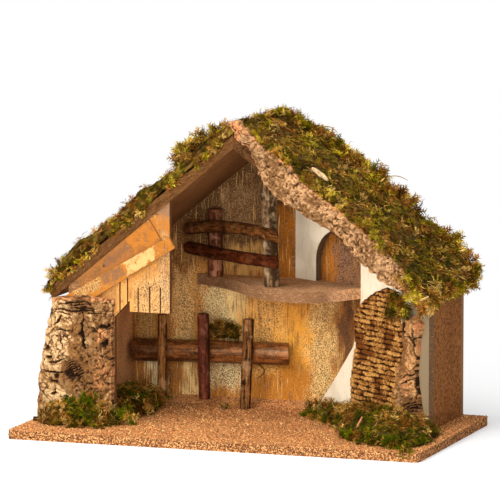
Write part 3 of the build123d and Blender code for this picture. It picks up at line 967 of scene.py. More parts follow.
@dataclass
class Relief:
    """A flat piece with a carved or grown front: a grid between its outline's sides, closed at the back."""

    name: str
    node: str
    slot: str
    bench: Bench
    thickness: float
    pitch: float
    seed: int
    ragged: float = 1.2
    wander: float = 6.0
    end_gap: float = 0.2
    thinnest_share: float = 0.15
    edge_drop: float = 0.35
    edge_width: float = 7.0
    side_rows: int = 8
    side_swell: float = 1.6
    side_lump: float = 5.0
    cut_lump: float = 9.0

    def pattern(self, along: Array, across: Array) -> tuple[Array, dict[str, Array]]:
        """Height in millimetres and point values at places on the face; each kind of piece has its own."""
        raise NotImplementedError

    def grid(self) -> tuple[Array, Array, Array]:
        """Grid over the outline.

        Rows are stations along the piece. Each row runs between the outline's two sides, which noise
        makes ragged.

        Returns:
            Places along and across, and the distance to the nearest edge, in millimetres, each of shape
            (rows, columns).
        """
        origin, axis, across, _ = self.bench.axes()
        shape = Triangles.of_node(self.node)
        reach = (shape.points - origin) @ axis
        rows = int((reach.max() - reach.min()) / MM / self.pitch)
        stations = np.linspace(reach.min() + self.end_gap * MM, reach.max() - self.end_gap * MM, rows)
        low, high = shape.span(axis, across, stations + origin @ axis)
        low, high = (low - origin @ across) / MM, (high - origin @ across) / MM
        noise = Noise(self.seed)
        line = np.stack((stations / MM / self.wander, np.zeros(rows), np.zeros(rows)), axis=1)
        low = low + self.ragged * noise.fractal(line, 5)
        high = high + self.ragged * noise.fractal(line + 50, 5)
        columns = int((high - low).max() / self.pitch)
        share = np.linspace(0, 1, columns)
        sideways = low[:, None] + share * (high - low)[:, None]
        lengthways = np.repeat(stations[:, None] / MM, columns, axis=1)
        wave = np.stack((sideways / self.wander, np.zeros_like(sideways), np.zeros_like(sideways)), axis=-1)
        ends = ease(lengthways, stations[0] / MM, stations[0] / MM + self.wander)
        lengthways = lengthways + self.ragged * noise.fractal(wave + 90, 4) * (0.5 + 0.5 * ends)
        sides = np.minimum(sideways - low[:, None], high[:, None] - sideways)
        tips = np.minimum(lengthways - stations[0] / MM, stations[-1] / MM - lengthways)
        return lengthways, sideways, np.maximum(np.minimum(sides, tips), 0)

    def surface(self) -> Surface:
        """The closed piece: the front grid, side rows down to the back plane, and one back face.

        A front point lies at its place on the face, out by the thickness less the edge's drop, plus the
        pattern's height.

        Returns:
            The surface with its point values.
        """
        origin, axis, across, out = self.bench.axes()
        along, aside, inset = self.grid()
        height, values = self.pattern(along, aside)
        drop = self.thickness * self.edge_drop * (1 - ease(inset, 0, self.edge_width)) ** 2
        lift = np.maximum(self.thickness - drop + height, self.thinnest_share * self.thickness)
        flat = origin + MM * (along[..., None] * axis + aside[..., None] * across)
        front = flat + MM * lift[..., None] * out
        rows, columns = along.shape
        index = np.arange(rows * columns).reshape(rows, columns)
        quads = np.stack((index[:-1, :-1], index[:-1, 1:], index[1:, 1:], index[1:, :-1]), axis=-1)
        rim = np.concatenate((index[0, :-1], index[:-1, -1], index[-1, :0:-1], index[:0:-1, 0]))
        top, base = front.reshape(-1, 3)[rim], flat.reshape(-1, 3)[rim]
        count = len(rim)
        rings, faces, previous = [], [quads.reshape(-1, 4)], rim
        outward = unit(base - base.mean(axis=0))
        rough = Noise(self.seed + 8)
        for row in range(1, self.side_rows + 1):
            share = row / self.side_rows
            ring_line = top * (1 - share) + base * share
            swell = MM * self.side_swell * rough.fractal(ring_line / (self.side_lump * MM), 3)
            rings.append(ring_line + np.where(row < self.side_rows, swell, 0)[:, None] * outward)
            ring = rows * columns + (row - 1) * count + np.arange(count)
            faces.append(np.stack((previous, ring, np.roll(ring, -1), np.roll(previous, -1)), axis=1))
            previous = ring
        faces.append(previous[None, :])
        points = np.concatenate((front.reshape(-1, 3), *rings))
        kept = {}
        for key, value in values.items():
            flatter = value.ravel()
            kept[key] = np.concatenate((flatter, np.tile(flatter[rim], self.side_rows)))
        rim_cut = 0.7 * (1 - ease(inset, 0.0, 0.3 * self.edge_width))
        sides = [0.45 + 0.9 * rough.fractal(ring_line / (self.cut_lump * MM) + 5, 3) for ring_line in rings]
        kept["cut"] = np.clip(np.concatenate((np.maximum(rim_cut, values["cut"]).ravel(), *sides)), 0, 1)
        return Surface(points, faces, kept)

    def build(self, finish: Material) -> None:
        """Makes the piece and puts it in its solid's place."""
        publish(self.name, self.surface().mesh(self.name), finish, (self.node,))


@dataclass
class BarkPiece(Relief):
    """Cork bark: low plates, wandering cracks, crumbs and pits, and the listed marks."""

    plate: Pair = (26.0, 18.0)
    plate_depth: float = 1.6
    finer_share: float = 0.4
    crack_size: float = 13.0
    crack_width: float = 0.022
    crack_share: float = 0.2
    crumb: float = 1.0
    crumb_size: float = 3.0
    lump: float = 9.0
    crag: float = 2.4
    crevice: float = 0.6
    swell: float = 2.4
    swell_size: float = 30.0
    drift: float = 4.0
    drift_size: float = 9.0
    pits: float = 0.0
    pit_size: float = 3.2
    coarse: float = 0.0
    coarse_edge: Pair = (62.0, 40.0)
    marks: tuple[Mark, ...] = ()
    stains_and_shading: tuple[Mark, ...] = ()
    fresh: tuple[Mark, ...] = ()

    def reach(self, mark: Mark, moved: Array) -> tuple[Array, Array]:
        """Where places lie from a mark's middle, along and across its own turned axes.

        Args:
            mark: the mark.
            moved: places along and across in millimetres, moved by noise.

        Returns:
            The distance in the mark's half sizes, and the place along it in millimetres.
        """
        turn = radians(mark.turn)
        ahead, aside = moved[..., 0] - mark.along, moved[..., 1] - mark.across
        run = ahead * cos(turn) + aside * sin(turn)
        return np.hypot(run / mark.long, (aside * cos(turn) - ahead * sin(turn)) / mark.wide), run

    def pattern(self, along: Array, across: Array) -> tuple[Array, dict[str, Array]]:
        """Bark relief.

        Places are first moved by noise. Plates of a cell pattern lie at different heights, with cracks along
        some of their borders and along a slow noise's zero line. Lumps are the size of a noise without its
        sign, so crevices run where it passes through zero. Crumbs are fine noise, stronger and with darker
        dips on the side where the bark is coarse. Some cells of a small cell pattern are pits, and each mark
        sinks as a bell with a ragged outline. A number added to places takes another part of the same noise.

        Args:
            along: places along the bark in millimetres.
            across: places across it in millimetres.

        Returns:
            The height, and the depth, tone and fresh breaks that colour it.
        """
        noise = Noise(self.seed + 1)
        level = np.zeros_like(along)
        place = np.stack((along, across, level), axis=-1)
        wide = place / self.drift_size
        moved = place + self.drift * np.stack((noise.fractal(wide), noise.fractal(wide + 40), level), axis=-1)
        plate = np.array((*self.plate, 1.0))
        gap, tone = noise.cells(moved / plate)
        finer_gap, finer_tone = noise.cells(moved / (self.finer_share * plate) + 31)
        allowed = ease(noise.fractal(place / 17 + 5, 2), 0.35 - self.crack_share, 0.75 - self.crack_share)
        line = noise.fractal(moved / self.crack_size + 9, 3) / self.crack_width
        line = np.exp(-line ** 2) * allowed
        border = ease(gap, 0.09, 0.0) * ease(noise.fractal(place / 15 + 45, 2), -self.crack_share, 0.3)
        finer = ease(noise.fractal(place / 13 + 25, 2), 0.1 - self.crack_share, 0.5)
        finer = ease(finer_gap, 0.13, 0.0) * finer
        crumbs = noise.fractal(place / self.crumb_size, 4)
        lumps = np.minimum(2.4 * np.abs(noise.fractal(moved / self.lump + 33, 4)), 1)
        broad = noise.fractal(place / self.swell_size + 3, 3)
        coarse = self.coarse * ease(across, *self.coarse_edge)
        height = self.plate_depth * (tone * ease(gap, 0.0, 0.22) - 0.5) + self.swell * broad
        height = height + (self.crumb + coarse) * crumbs
        height = height + self.crag * (lumps - 0.5) + 0.8 * (finer_tone - 0.5)
        height = height - 2.2 * line - 1.4 * border - 0.8 * finer
        depth = 0.6 * line + 0.4 * border + 0.42 * finer + self.crevice * ease(lumps, 0.3, 0.0)
        depth = depth + 0.6 * coarse * ease(crumbs, -0.12, -0.5)
        pit_gap, pit_tone = noise.cells(moved / self.pit_size + 57)
        pit = ease(pit_tone, 1.02 - self.pits, 1.06 - self.pits) * ease(pit_gap + 0.3 * crumbs, 0.12, 0.34)
        height, depth = height - 1.5 * pit, depth + 0.5 * pit
        ragged = 0.7 * crumbs + 0.5 * noise.fractal(place / 1.6 + 90, 2)
        for mark in self.marks:
            far, run = self.reach(mark, moved)
            bell = ease(far + 0.6 * ragged, 1.35, 0.5)
            halo = ease(far + 0.5 * ragged, 2.0, 0.9)
            if mark.stripe:
                bell = bell * ease(np.sin(2 * pi * (run / mark.stripe + 0.5 * crumbs)), -0.8, 0.7)
            height = height - mark.depth * bell
            depth = np.maximum(depth, 0.42 * halo) + 0.6 * bell
        lit = 0.5 + 0.5 * noise.fractal(place / 16 + 60, 3) + 0.65 * crumbs + 0.2 * (lumps - 0.5)
        lit = lit + 0.3 * (tone - 0.5) + 0.25 * (finer_tone - 0.5)
        # these marks shift the tone: on the left bark, darker to the right and lighter to the left, partly
        # the bark's own colour and partly painted shade and light
        for stain in self.stains_and_shading:
            lit = lit - stain.depth * ease(self.reach(stain, moved)[0] + 0.5 * broad, 1.4, 0.5)
        raw = level
        for mark in self.fresh:
            raw = np.maximum(raw, mark.depth * ease(self.reach(mark, moved)[0] + 0.4 * ragged, 1.3, 0.6))
        return height, {"depth": np.clip(depth, 0, 1), "tone": np.clip(lit, 0, 1), "cut": raw}


@dataclass
class StoneSheet(Relief):
    """Embossed panel of long stones in tilted rows."""

    row: float = 6.1
    stone: float = 23.0
    tilt: float = 2.4
    emboss: float = 1.7

    def pattern(self, along: Array, across: Array) -> tuple[Array, dict[str, Array]]:
        """Stone relief.

        Noise moves each place a little. A place's row is its height over the row's height. Along the row
        stones follow each other, shifted and stretched by a hash of the row. Each stone is a lens: one minus
        a power of its distance from the row's middle, which counts for more towards the stone's ends.

        Args:
            along: heights up the panel in millimetres.
            across: places across it in millimetres.

        Returns:
            The height, and the depth and tone that colour it.
        """
        noise = Noise(self.seed + 1)
        level = np.zeros_like(along)
        place = np.stack((along, across, level), axis=-1)
        up = along + 1.3 * noise.fractal(place / 9) - across * sin(radians(self.tilt))
        aside = across + 4.0 * noise.fractal(place / 8 + 30)
        row = np.floor(up / self.row)
        shift = noise.hashed(np.stack((row, level, level), axis=-1), 5)
        run = aside / (self.stone * (0.65 + 0.7 * shift)) + 7 * shift
        stone = np.floor(run)
        tone = noise.hashed(np.stack((row, stone, level), axis=-1), 6)
        ends = 2 * (run - stone) - 1
        inner = (2 * (up / self.row - row) - 1) / (1 - 0.5 * np.abs(ends) ** 3)
        rough = 0.6 * noise.fractal(place / 4.5, 3) + 1.1 * noise.fractal(place / 1.5 + 15, 2)
        worn = ease(noise.fractal(place / 16 + 80, 3), -0.05, 0.5)
        lens = 1 - np.abs(inner) ** 3.4 * (0.85 + 0.3 * tone) - 0.8 * np.abs(ends) ** 12
        lens = lens + 0.6 * rough - 0.35 * worn
        pillow = np.clip(lens, 0, 1) ** 0.7
        height = self.emboss * (pillow - 0.75) + 0.45 * rough + 0.5 * (tone - 0.5)
        lit = 0.06 + 0.3 * tone + 0.42 * lens + 0.2 * rough - 0.4 * worn
        return height, {"depth": ease(lens, 0.36, -0.1), "tone": np.clip(lit, 0, 1), "cut": level}


@dataclass
class Twig:
    """A round twig along its solid: a circle carried along the middle line, roughened by noise and knots.

    A knot is a share of the length, a turn around the axis in degrees and a size in millimetres.
    """

    name: str
    axis: Place
    order: int
    slot: str
    seed: int
    rough: float = 0.05
    knots: tuple[Place, ...] = ()
    cut_facing: Place | None = None
    rough_shadowed_start: float = 0.0
    # painted light: the side that keeps a painted highlight, and how dark the flanks are painted as shade
    painted_highlight_side: float | None = None
    painted_shade_contrast: float = 0.45
    grain_length: float = 22.0
    sides: int = 56
    pitch: float = 1.1
    probes: int = 14
    probe_gap: float = 0.02
    last_probe_gap: float = 0.02

    def lies(self) -> bool:
        """Whether the twig lies rather than stands."""
        return abs(self.axis[2]) < 0.5

    def middle_line(self) -> tuple[Array, Array, float, float]:
        """The solid's middle line, fitted by a straight line or a parabola through slices of it.

        Returns:
            Coefficients of the centre, coefficients of the radius, and the first and last station.
        """
        shape = Triangles.of_node(self.name)
        axis = unit(np.array(self.axis))
        reach = shape.points @ axis
        first, last = reach.min(), reach.max()
        whole = last - first
        probed = first + self.probe_gap * whole, last - self.last_probe_gap * whole
        stations = np.linspace(*probed, self.probes)
        slices = [shape.crossings(axis, station) for station in stations]
        centres = np.array([(cut.min(0) + cut.max(0)) / 2 for cut in slices])
        gauge = 2 if self.lies() else 0
        radii = np.array([np.ptp(cut[:, gauge]) / 2 for cut in slices])
        return np.polyfit(stations, centres, self.order), np.polyfit(stations, radii, 1), first, last

    def build(self, finish: Material) -> None:
        """Makes the twig.

        A point lies at the centre plus the radius times one plus noise, in a direction that turns around the
        axis. The last rings at each end draw in and are closed by a flat face, which may be cut across a
        direction other than the axis. A painted highlight runs along one side, and the bark around the rest
        of the twig is darkened as painted shade.

        Args:
            finish: its material.
        """
        centre_fit, radius_fit, first, last = self.middle_line()
        axis = unit(np.array(self.axis))
        aside = unit(np.cross(axis, (0.0, 0.31, 1.0) if self.lies() else (0.0, 1.0, 0.0)))
        above = np.cross(axis, aside)
        rings = int((last - first) / MM / self.pitch)
        stations = np.linspace(first, last, rings)
        centres = stations[:, None] ** np.arange(self.order, -1, -1) @ centre_fit
        radii = np.polyval(radius_fit, stations)
        turns = 2 * pi * np.arange(self.sides) / self.sides
        noise = Noise(self.seed)
        travel = (stations - first)[:, None] / MM * np.ones(self.sides)
        circle = around(travel / 26, turns, 1.5)
        ridge = around(travel / self.grain_length, turns, 7)
        grain = around(travel / 2.4, turns, 6)
        swell = noise.fractal(circle) + 0.35 * noise.fractal(ridge + 20) + 0.22 * noise.fractal(grain + 40, 2)
        streak = 0.5 + 0.5 * noise.fractal(ridge + 60) + 0.2 * noise.fractal(grain + 80, 2)
        for place, turn, size in self.knots:
            swing = np.angle(np.exp(1j * (turns - radians(turn)))) * radii.mean() / MM
            apart = np.hypot(travel - place * (last - first) / MM, swing) / size
            swell = swell + 3.2 * np.exp(-apart ** 2) - 3.6 * np.exp(-(apart / 0.45) ** 2)
            streak = streak - 0.9 * np.exp(-(apart / 0.6) ** 2)
        # the log's first stretch swells as rough bark and is darkened: its own darker bark, and painted
        # shadow
        if self.rough_shadowed_start:
            gnarled = ease(travel / travel[-1], self.rough_shadowed_start + 0.02, self.rough_shadowed_start - 0.02)
            swell, streak = swell + 1.2 * gnarled, streak - 0.2 * gnarled
        # painted highlight and shade: the bark darkens away from the chosen side
        if self.painted_highlight_side is not None:
            streak = streak - self.painted_shade_contrast * ease(np.cos(turns - radians(self.painted_highlight_side)), 0.8, 0.1)
        ends = np.minimum(travel, travel[-1] - travel)
        draw_in = 1 - 0.07 * (1 - ease(ends, 0, 1.4)) ** 2
        reach = radii[:, None] * (1 + self.rough * swell) * draw_in
        spokes = np.cos(turns)[:, None] * aside + np.sin(turns)[:, None] * above
        points = centres[:, None] + reach[..., None] * spokes
        if self.cut_facing:
            facing = np.array(self.cut_facing)
            near_end = ease(travel[-1] - travel, 10, 0)
            slide = -((points - centres[:, None]) @ facing) / (axis @ facing) * near_end
            points = points + slide[..., None] * axis
        values = {"streak": streak.ravel(), "cut": (1 - ease(ends, 0, 0.9)).ravel()}
        surface = Surface(points.reshape(-1, 3), tube_faces(rings, self.sides), values)
        publish(self.name + "_bark", surface.mesh(self.name), finish, (self.name,))


@dataclass(frozen=True)
class MossColours:
    """Colours of moss strands: the dry ones, the live ones, and how many are live."""

    dry: tuple[Colour, ...] = ((164, 112, 40), (194, 142, 58), (134, 86, 24), (220, 174, 92), (102, 62, 16),
                               (166, 104, 44))
    live: tuple[Colour, ...] = ((146, 122, 16), (176, 150, 32), (118, 106, 10), (202, 174, 56), (88, 78, 6))
    live_share: float = 0.5

    def pick(self, roots: Array, noise: Noise, rng: Rng) -> Array:
        """A linear colour for each root: live in patches about 30 mm across, otherwise dry.

        Args:
            roots: the strands' roots in metres.
            noise: noise that makes the patches.
            rng: random numbers.

        Returns:
            Colours, of shape (n, 3).
        """
        patch = noise.fractal(roots / (26 * MM)) + 0.30 * rng.normal(size=len(roots))
        live = patch < np.quantile(patch, self.live_share)
        dry_set, live_set = palette(self.dry), palette(self.live)
        chosen = np.where(live[:, None], live_set[rng.integers(len(live_set), size=len(roots))],
                          dry_set[rng.integers(len(dry_set), size=len(roots))])
        return chosen * rng.uniform(0.65, 1.25, (len(roots), 1))


def grow(stencil: Stencil, roots: Array, axes: Axes, length: Pair, bend: Pair, tint: Array,
         rng: Rng) -> Surface:
    """Moss strands of random length, width, bend and tone, darker at their roots and lighter at their tips as
    painted shade and light.

    Args:
        stencil: the strand.
        roots: where the strands start.
        axes: along, sideways and up for each strand.
        length: shortest and longest in millimetres.
        bend: lowest and highest bend of the tips, in lengths.
        tint: each strand's linear colour.
        rng: random numbers.

    Returns:
        The strands as one surface, with their tint.
    """
    count = len(roots)
    size = MM * rng.uniform(*length, count)
    shape = np.stack((np.ones(count), rng.uniform(0.6, 1.3, count), np.ones(count)), axis=1)
    surface = stencil.repeat(roots, axes, size[:, None] * shape, rng.uniform(*bend, count))
    surface.points[:, 2] = np.maximum(surface.points[:, 2], 0.2 * MM)
    tint = tint * rng.uniform(0.75, 1.3, (count, 1))
    # strands darken towards their roots and lighten towards their tips: painted shade within the clump and
    # painted light on the tips
    fade = 0.3 + 1.15 * stencil.points[:, 0]
    surface.values["tint"] = np.clip(tint[:, None] * fade[None, :, None], 0, 1).reshape(-1, 3)
    return surface


@dataclass
class Moss:
    """A clump of dried moss: a lumpy bed inside its solid, with fronds and curly strands rooted on it."""

    node: str
    pieces: int
    fronds: int
    seed: int
    colours: MossColours = MossColours()
    length: Pair = (4.5, 8.5)
    strand_length: Pair = (7.0, 14.0)
    strand_share: float = 0.45
    inset: float = 2.5
    lumps: float = 6.0
    lump_size: float = 19.0
    tuft: int = 9
    tuft_spread: float = 1.8
    walls: tuple[str, ...] = ()
    wall_gap: float = 7.0
    shy: tuple[Place, ...] = (DOWN,)
    back_limit: float = 148.0
    left_limit: float = -250.0
    voxel: float = 3.0

    def bed(self, finish: Material) -> Triangles:
        """Makes the bed: a copy of the solid in small faces, drawn in and made lumpy along its normals, and
        tinted dark, most in its hollows, as painted shade.

        Args:
            finish: the moss's material.

        Returns:
            The bed's triangles, on which the strands are rooted.
        """
        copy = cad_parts[self.node].data.copy()
        merged = bmesh.new()
        merged.from_mesh(copy)
        bmesh.ops.remove_doubles(merged, verts=merged.verts, dist=0.02 * MM)
        merged.to_mesh(copy)
        merged.free()
        carrier = bpy.data.objects.new(self.node + "_carrier", copy)
        bpy.context.scene.collection.objects.link(carrier)
        remesh = carrier.modifiers.new("small faces", "REMESH")
        remesh.mode = "VOXEL"
        remesh.voxel_size = self.voxel * MM
        mesh = bpy.data.meshes.new_from_object(carrier.evaluated_get(bpy.context.evaluated_depsgraph_get()))
        bpy.data.objects.remove(carrier)
        points, normals = read_points(mesh), read_points(mesh, "normal")
        noise = Noise(self.seed)
        lump = noise.fractal(points / (self.lump_size * MM), 4)
        points = points + MM * (self.lumps * lump - self.inset)[:, None] * normals
        points[:, 0] = np.maximum(points[:, 0], self.left_limit * MM)
        points[:, 2] = np.maximum(points[:, 2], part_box(self.node)[0].z)
        mesh.vertices.foreach_set("co", points.astype(np.float32).ravel())
        mesh.polygons.foreach_set("use_smooth", np.full(len(mesh.polygons), True))
        mesh.update()
        mesh.materials.clear()
        # the bed is darkened overall and most in its hollows: painted shade between the strands
        shade = self.colours.pick(points, noise, np.random.default_rng(self.seed))
        keep_on_points(mesh, "tint", np.clip(shade * (0.22 + 0.25 * lump[:, None]), 0, 1))
        publish(self.node + "_bed", mesh, finish, (self.node,))
        return Triangles(mesh)

    def roots(self, bed: Triangles, count: int, rng: Rng) -> tuple[Array, Array]:
        """Places for strands, away from the faces that lie against boards.

        Args:
            bed: the bed's triangles.
            count: how many places to try.
            rng: random numbers.

        Returns:
            Roots and normals.
        """
        spots, normals = bed.scatter(count, rng)
        open_air = spots[:, 1] < self.back_limit * MM
        for direction in self.shy:
            open_air &= normals @ unit(np.array(direction, float)) < 0.6
        ahead = spots + self.wall_gap * MM * normals
        for wall in self.walls:
            low, high = (np.array(corner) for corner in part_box(wall))
            open_air &= ~np.all((ahead > low) & (ahead < high), axis=1)
        return spots[open_air], normals[open_air]

    def strands(self, bed: Triangles, stencil: Stencil, count: int, length: Pair,
                tilt: Pair, rng: Rng) -> Surface:
        """Copies of one kind of strand all over the bed.

        Args:
            bed: the bed's triangles.
            stencil: the strand.
            count: how many to try.
            length: shortest and longest in millimetres.
            tilt: lowest and highest rise above the bed in degrees.
            rng: random numbers.

        Returns:
            The strands as one surface, with their tint.
        """
        noise = Noise(self.seed + 5)
        tufts, normals = self.roots(bed, count // self.tuft, rng)
        tint = np.repeat(self.colours.pick(tufts, noise, rng), self.tuft, axis=0)
        normals = np.repeat(normals, self.tuft, axis=0)
        count = len(normals)
        roots = np.repeat(tufts, self.tuft, axis=0) + MM * self.tuft_spread * rng.normal(size=(count, 3))
        roots = roots + MM * rng.uniform(-1.0, 1.5, count)[:, None] * normals
        leaning = unit(normals + (0, 0, 0.2) + 0.3 * rng.normal(size=(count, 3)))
        axes = scattered_axes(leaning, radians(1) * rng.uniform(*tilt, count), rng)
        return grow(stencil, roots, axes, length, (-0.4, 0.2), tint, rng)

    def build(self, finish: Material) -> None:
        """Makes the bed, its leafy fronds and its curly strands, a few thousand to a piece.

        Args:
            finish: the moss's material.
        """
        bed = self.bed(finish)
        curly = int(self.fronds * self.strand_share)
        for part in range(self.pieces):
            rng = np.random.default_rng(100 * self.seed + part)
            kinds = (("fronds", Stencil.frond(3, 0.38, 0.065), self.fronds - curly, self.length, (0, 55)),
                     ("strands", Stencil.strand(), curly, self.strand_length, (-6, 16)))
            for kind, stencil, count, length, tilt in kinds:
                name = f"{self.node}_{kind}_{part + 1}"
                surface = self.strands(bed, stencil, count, length, tilt, rng)
                publish(name, surface.mesh(name, False), finish)


@dataclass(frozen=True)
class Fringe:
    """Loose moss along a line: its ends in millimetres, its lean, its spread, its fronds and their length."""

    start: Place
    end: Place
    lean: Place
    spread: float
    fronds: int
    length: Pair = (6.0, 12.0)


@dataclass
class LooseMoss:
    """Tufts of moss that hang or climb where the heaps end."""

    name: str
    fringes: tuple[Fringe, ...]
    seed: int
    colours: MossColours = MossColours()
    tuft: int = 10
    tuft_spread: float = 1.6
    spray: float = 0.55
    curly_share: float = 0.3

    def tufts(self, fringe: Fringe, stencil: Stencil, count: int, rng: Rng) -> Surface:
        """Copies of one kind of strand along a fringe's line.

        A tuft's place is a random share of the line plus a normal spread. Its strands leave it in the
        fringe's direction plus a normal spread, and sag at their tips.

        Args:
            fringe: where the moss is.
            stencil: the strand.
            count: how many strands.
            rng: random numbers.

        Returns:
            The strands as one surface, with their tint.
        """
        groups = max(count // self.tuft, 1)
        first, last = (MM * np.array(end, float) for end in (fringe.start, fringe.end))
        middles = first + rng.uniform(0, 1, (groups, 1)) * (last - first)
        off = np.clip(rng.normal(size=(groups, 3)), -1.6, 1.6)
        middles = middles + MM * fringe.spread * off * (1, 0.35, 1)
        tint = np.repeat(self.colours.pick(middles, Noise(self.seed), rng), self.tuft, axis=0)
        count = groups * self.tuft
        roots = np.repeat(middles, self.tuft, axis=0) + MM * self.tuft_spread * rng.normal(size=(count, 3))
        along = unit(unit(np.array(fringe.lean, float)) + self.spray * rng.normal(size=(count, 3)))
        aside = unit(np.cross(along, rng.normal(size=(count, 3))))
        axes = (along, aside, np.cross(along, aside))
        return grow(stencil, roots, axes, fringe.length, (-0.4, 0.4), tint, rng)

    def build(self, finish: Material) -> None:
        """Makes the fronds and the curly strands of every fringe, each kind as one piece.

        Args:
            finish: the moss's material.
        """
        rng = np.random.default_rng(self.seed)
        kinds = (("fronds", Stencil.frond(3, 0.42, 0.075), 1 - self.curly_share),
                 ("strands", Stencil.strand(), self.curly_share))
        for kind, stencil, share in kinds:
            parts = [self.tufts(fringe, stencil, int(share * fringe.fronds), rng) for fringe in self.fringes]
            starts = np.cumsum([0] + [len(part.points) for part in parts[:-1]])
            faces = [np.concatenate([part.faces[0] + start for part, start in zip(parts, starts)])]
            surface = Surface(np.concatenate([part.points for part in parts]), faces,
                              {"tint": np.concatenate([part.values["tint"] for part in parts])})
            name = f"{self.name}_{kind}"
            publish(name, surface.mesh(name, False), finish)


@dataclass(frozen=True)
class Straw:
    """A straw, tendril or chip in the moss: an ellipse carried along a curve with three control points."""

    name: str
    path: tuple[Place, Place, Place]
    width: float
    height: float
    colour: Colour
    slot: str = "brown_twig"
    jag: float = 0.3
    sides: int = 12
    rings: int = 26

    def build(self, finish: Material) -> None:
        """Makes the straw.

        The curve's place is the first point times (1 - t) squared, the middle one times 2 t (1 - t) and the
        last times t squared. The half sizes fall to a third at both ends and vary by noise.

        Args:
            finish: its material.
        """
        first, middle, last = (MM * np.array(place, float) for place in self.path)
        share = np.linspace(0, 1, self.rings)[:, None]
        centre = first * (1 - share) ** 2 + 2 * middle * share * (1 - share) + last * share ** 2
        ahead = unit(np.gradient(centre, axis=0))
        aside = unit(np.cross(ahead, (0.05, 0.31, 0.95)))
        above = np.cross(ahead, aside)
        turns = 2 * pi * np.arange(self.sides) / self.sides
        grain = Noise(len(self.name)).fractal(around(8 * share, turns, 2), 3)
        size = MM * (0.35 + 0.65 * np.sin(pi * share) ** 0.5) * (1 + self.jag * grain)
        ellipse = (self.width * np.cos(turns)[:, None] * aside[:, None]
                   + self.height * np.sin(turns)[:, None] * above[:, None])
        points = centre[:, None] + size[..., None] * ellipse
        tint = linear(self.colour) * np.clip(0.85 + 0.8 * grain.reshape(-1, 1), 0.35, 1.2)
        surface = Surface(points.reshape(-1, 3), tube_faces(self.rings, self.sides), {"tint": tint})
        publish(self.name, surface.mesh(self.name), finish)


@dataclass
class GrainCover:
    """Loose cork granules over the base's layer."""

    count: int = 17000
    size: Pair = (0.55, 1.25)
    seed: int = 71
    edge_band: float = 3.0
    over_board: float = 1.0
    lowest: float = 1.4
    top_painted_light: Place = (0.55, 1.3, 1.8)
    edge_specks_and_painted_shade: Place = (0.1, 0.5, 1.35)
    colours: tuple[Colour, ...] = ((200, 134, 78), (216, 152, 92), (176, 109, 59), (146, 86, 44),
                                   (232, 176, 114), (90, 50, 26), (122, 70, 36))

    def build(self, finish: Material) -> None:
        """Scatters eight-faced grains over the layer's top and outer edges.

        Args:
            finish: their material.
        """
        rng = np.random.default_rng(self.seed)
        spots, normals = Triangles.of_node("granule_cover").scatter(4 * self.count, rng)
        low, high = (np.array(corner)[:2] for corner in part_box("granule_cover"))
        band = self.edge_band * MM
        outer = np.any((spots[:, :2] < low + band) | (spots[:, :2] > high - band), axis=1)
        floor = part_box("base_board")[1].z + self.over_board * MM
        top = (normals[:, 2] > 0.5) & (spots[:, 2] > floor)
        shown = top | outer & (normals[:, 2] > -0.5) & (spots[:, 2] > self.lowest * MM)
        spots, normals = spots[shown][:self.count], normals[shown][:self.count]
        count = len(spots)
        axes = scattered_axes(unit(rng.normal(size=(count, 3))), np.zeros(count), rng)
        sizes = MM * rng.uniform(*self.size, (count, 3))
        stencil = Stencil.grain()
        surface = stencil.repeat(spots, axes, sizes, np.zeros(count))
        shades = palette(self.colours)
        chosen = shades[rng.integers(len(shades), size=count)] * rng.uniform(0.8, 1.15, (count, 1))
        # grains on the top are lightened and grains on the edges darkened: darker specks, and painted light
        # and shade
        on_top, on_edge = (rng.choice(shade, (count, 1)) for shade in (self.top_painted_light, self.edge_specks_and_painted_shade))
        chosen = chosen * np.where(normals[:, 2:] > 0.5, on_top, on_edge)
        surface.values["tint"] = np.clip(np.repeat(chosen, len(stencil.points), axis=0), 0, 1)
        publish("loose_granules", surface.mesh("loose_granules", False), finish)


@dataclass
class SawnFibres:
    """Fibres that stand out of a board's sawn edge."""

    node: str
    count: int
    facing: Place
    along: Place
    seed: int
    spread: float = 0.8
    length: Pair = (3.0, 9.0)
    colours: tuple[Colour, ...] = ((196, 145, 96), (164, 111, 70), (142, 94, 58), (214, 165, 112))

    def build(self, finish: Material) -> None:
        """Scatters thin spindles that lie along the edge and lift a little.

        Args:
            finish: their material.
        """
        rng = np.random.default_rng(self.seed)
        spots, normals = Triangles.of_node(self.node).scatter(40 * self.count, rng)
        edge = normals @ unit(np.array(self.facing, float)) > self.spread
        spots, normals = spots[edge][:self.count], normals[edge][:self.count]
        count = len(spots)
        lie = unit(np.array(self.along) + 0.28 * rng.normal(size=(count, 3)))
        lie = unit(lie - np.sum(lie * normals, axis=1, keepdims=True) * normals + 0.12 * normals)
        aside = unit(np.cross(normals, lie))
        length = MM * rng.uniform(*self.length, count)
        axes = (lie, aside, np.cross(lie, aside))
        sizes = np.stack((length, length, length), axis=1)
        stencil = Stencil.spindle((0.0, 0.5), (0.03, 0.04))
        surface = stencil.repeat(spots, axes, sizes, rng.uniform(-0.1, 0.15, count))
        shades = palette(self.colours)
        chosen = shades[rng.integers(len(shades), size=count)]
        surface.values["tint"] = np.repeat(chosen, len(stencil.points), axis=0)
        name = self.node + "_fibres"
        publish(name, surface.mesh(name, False), finish)


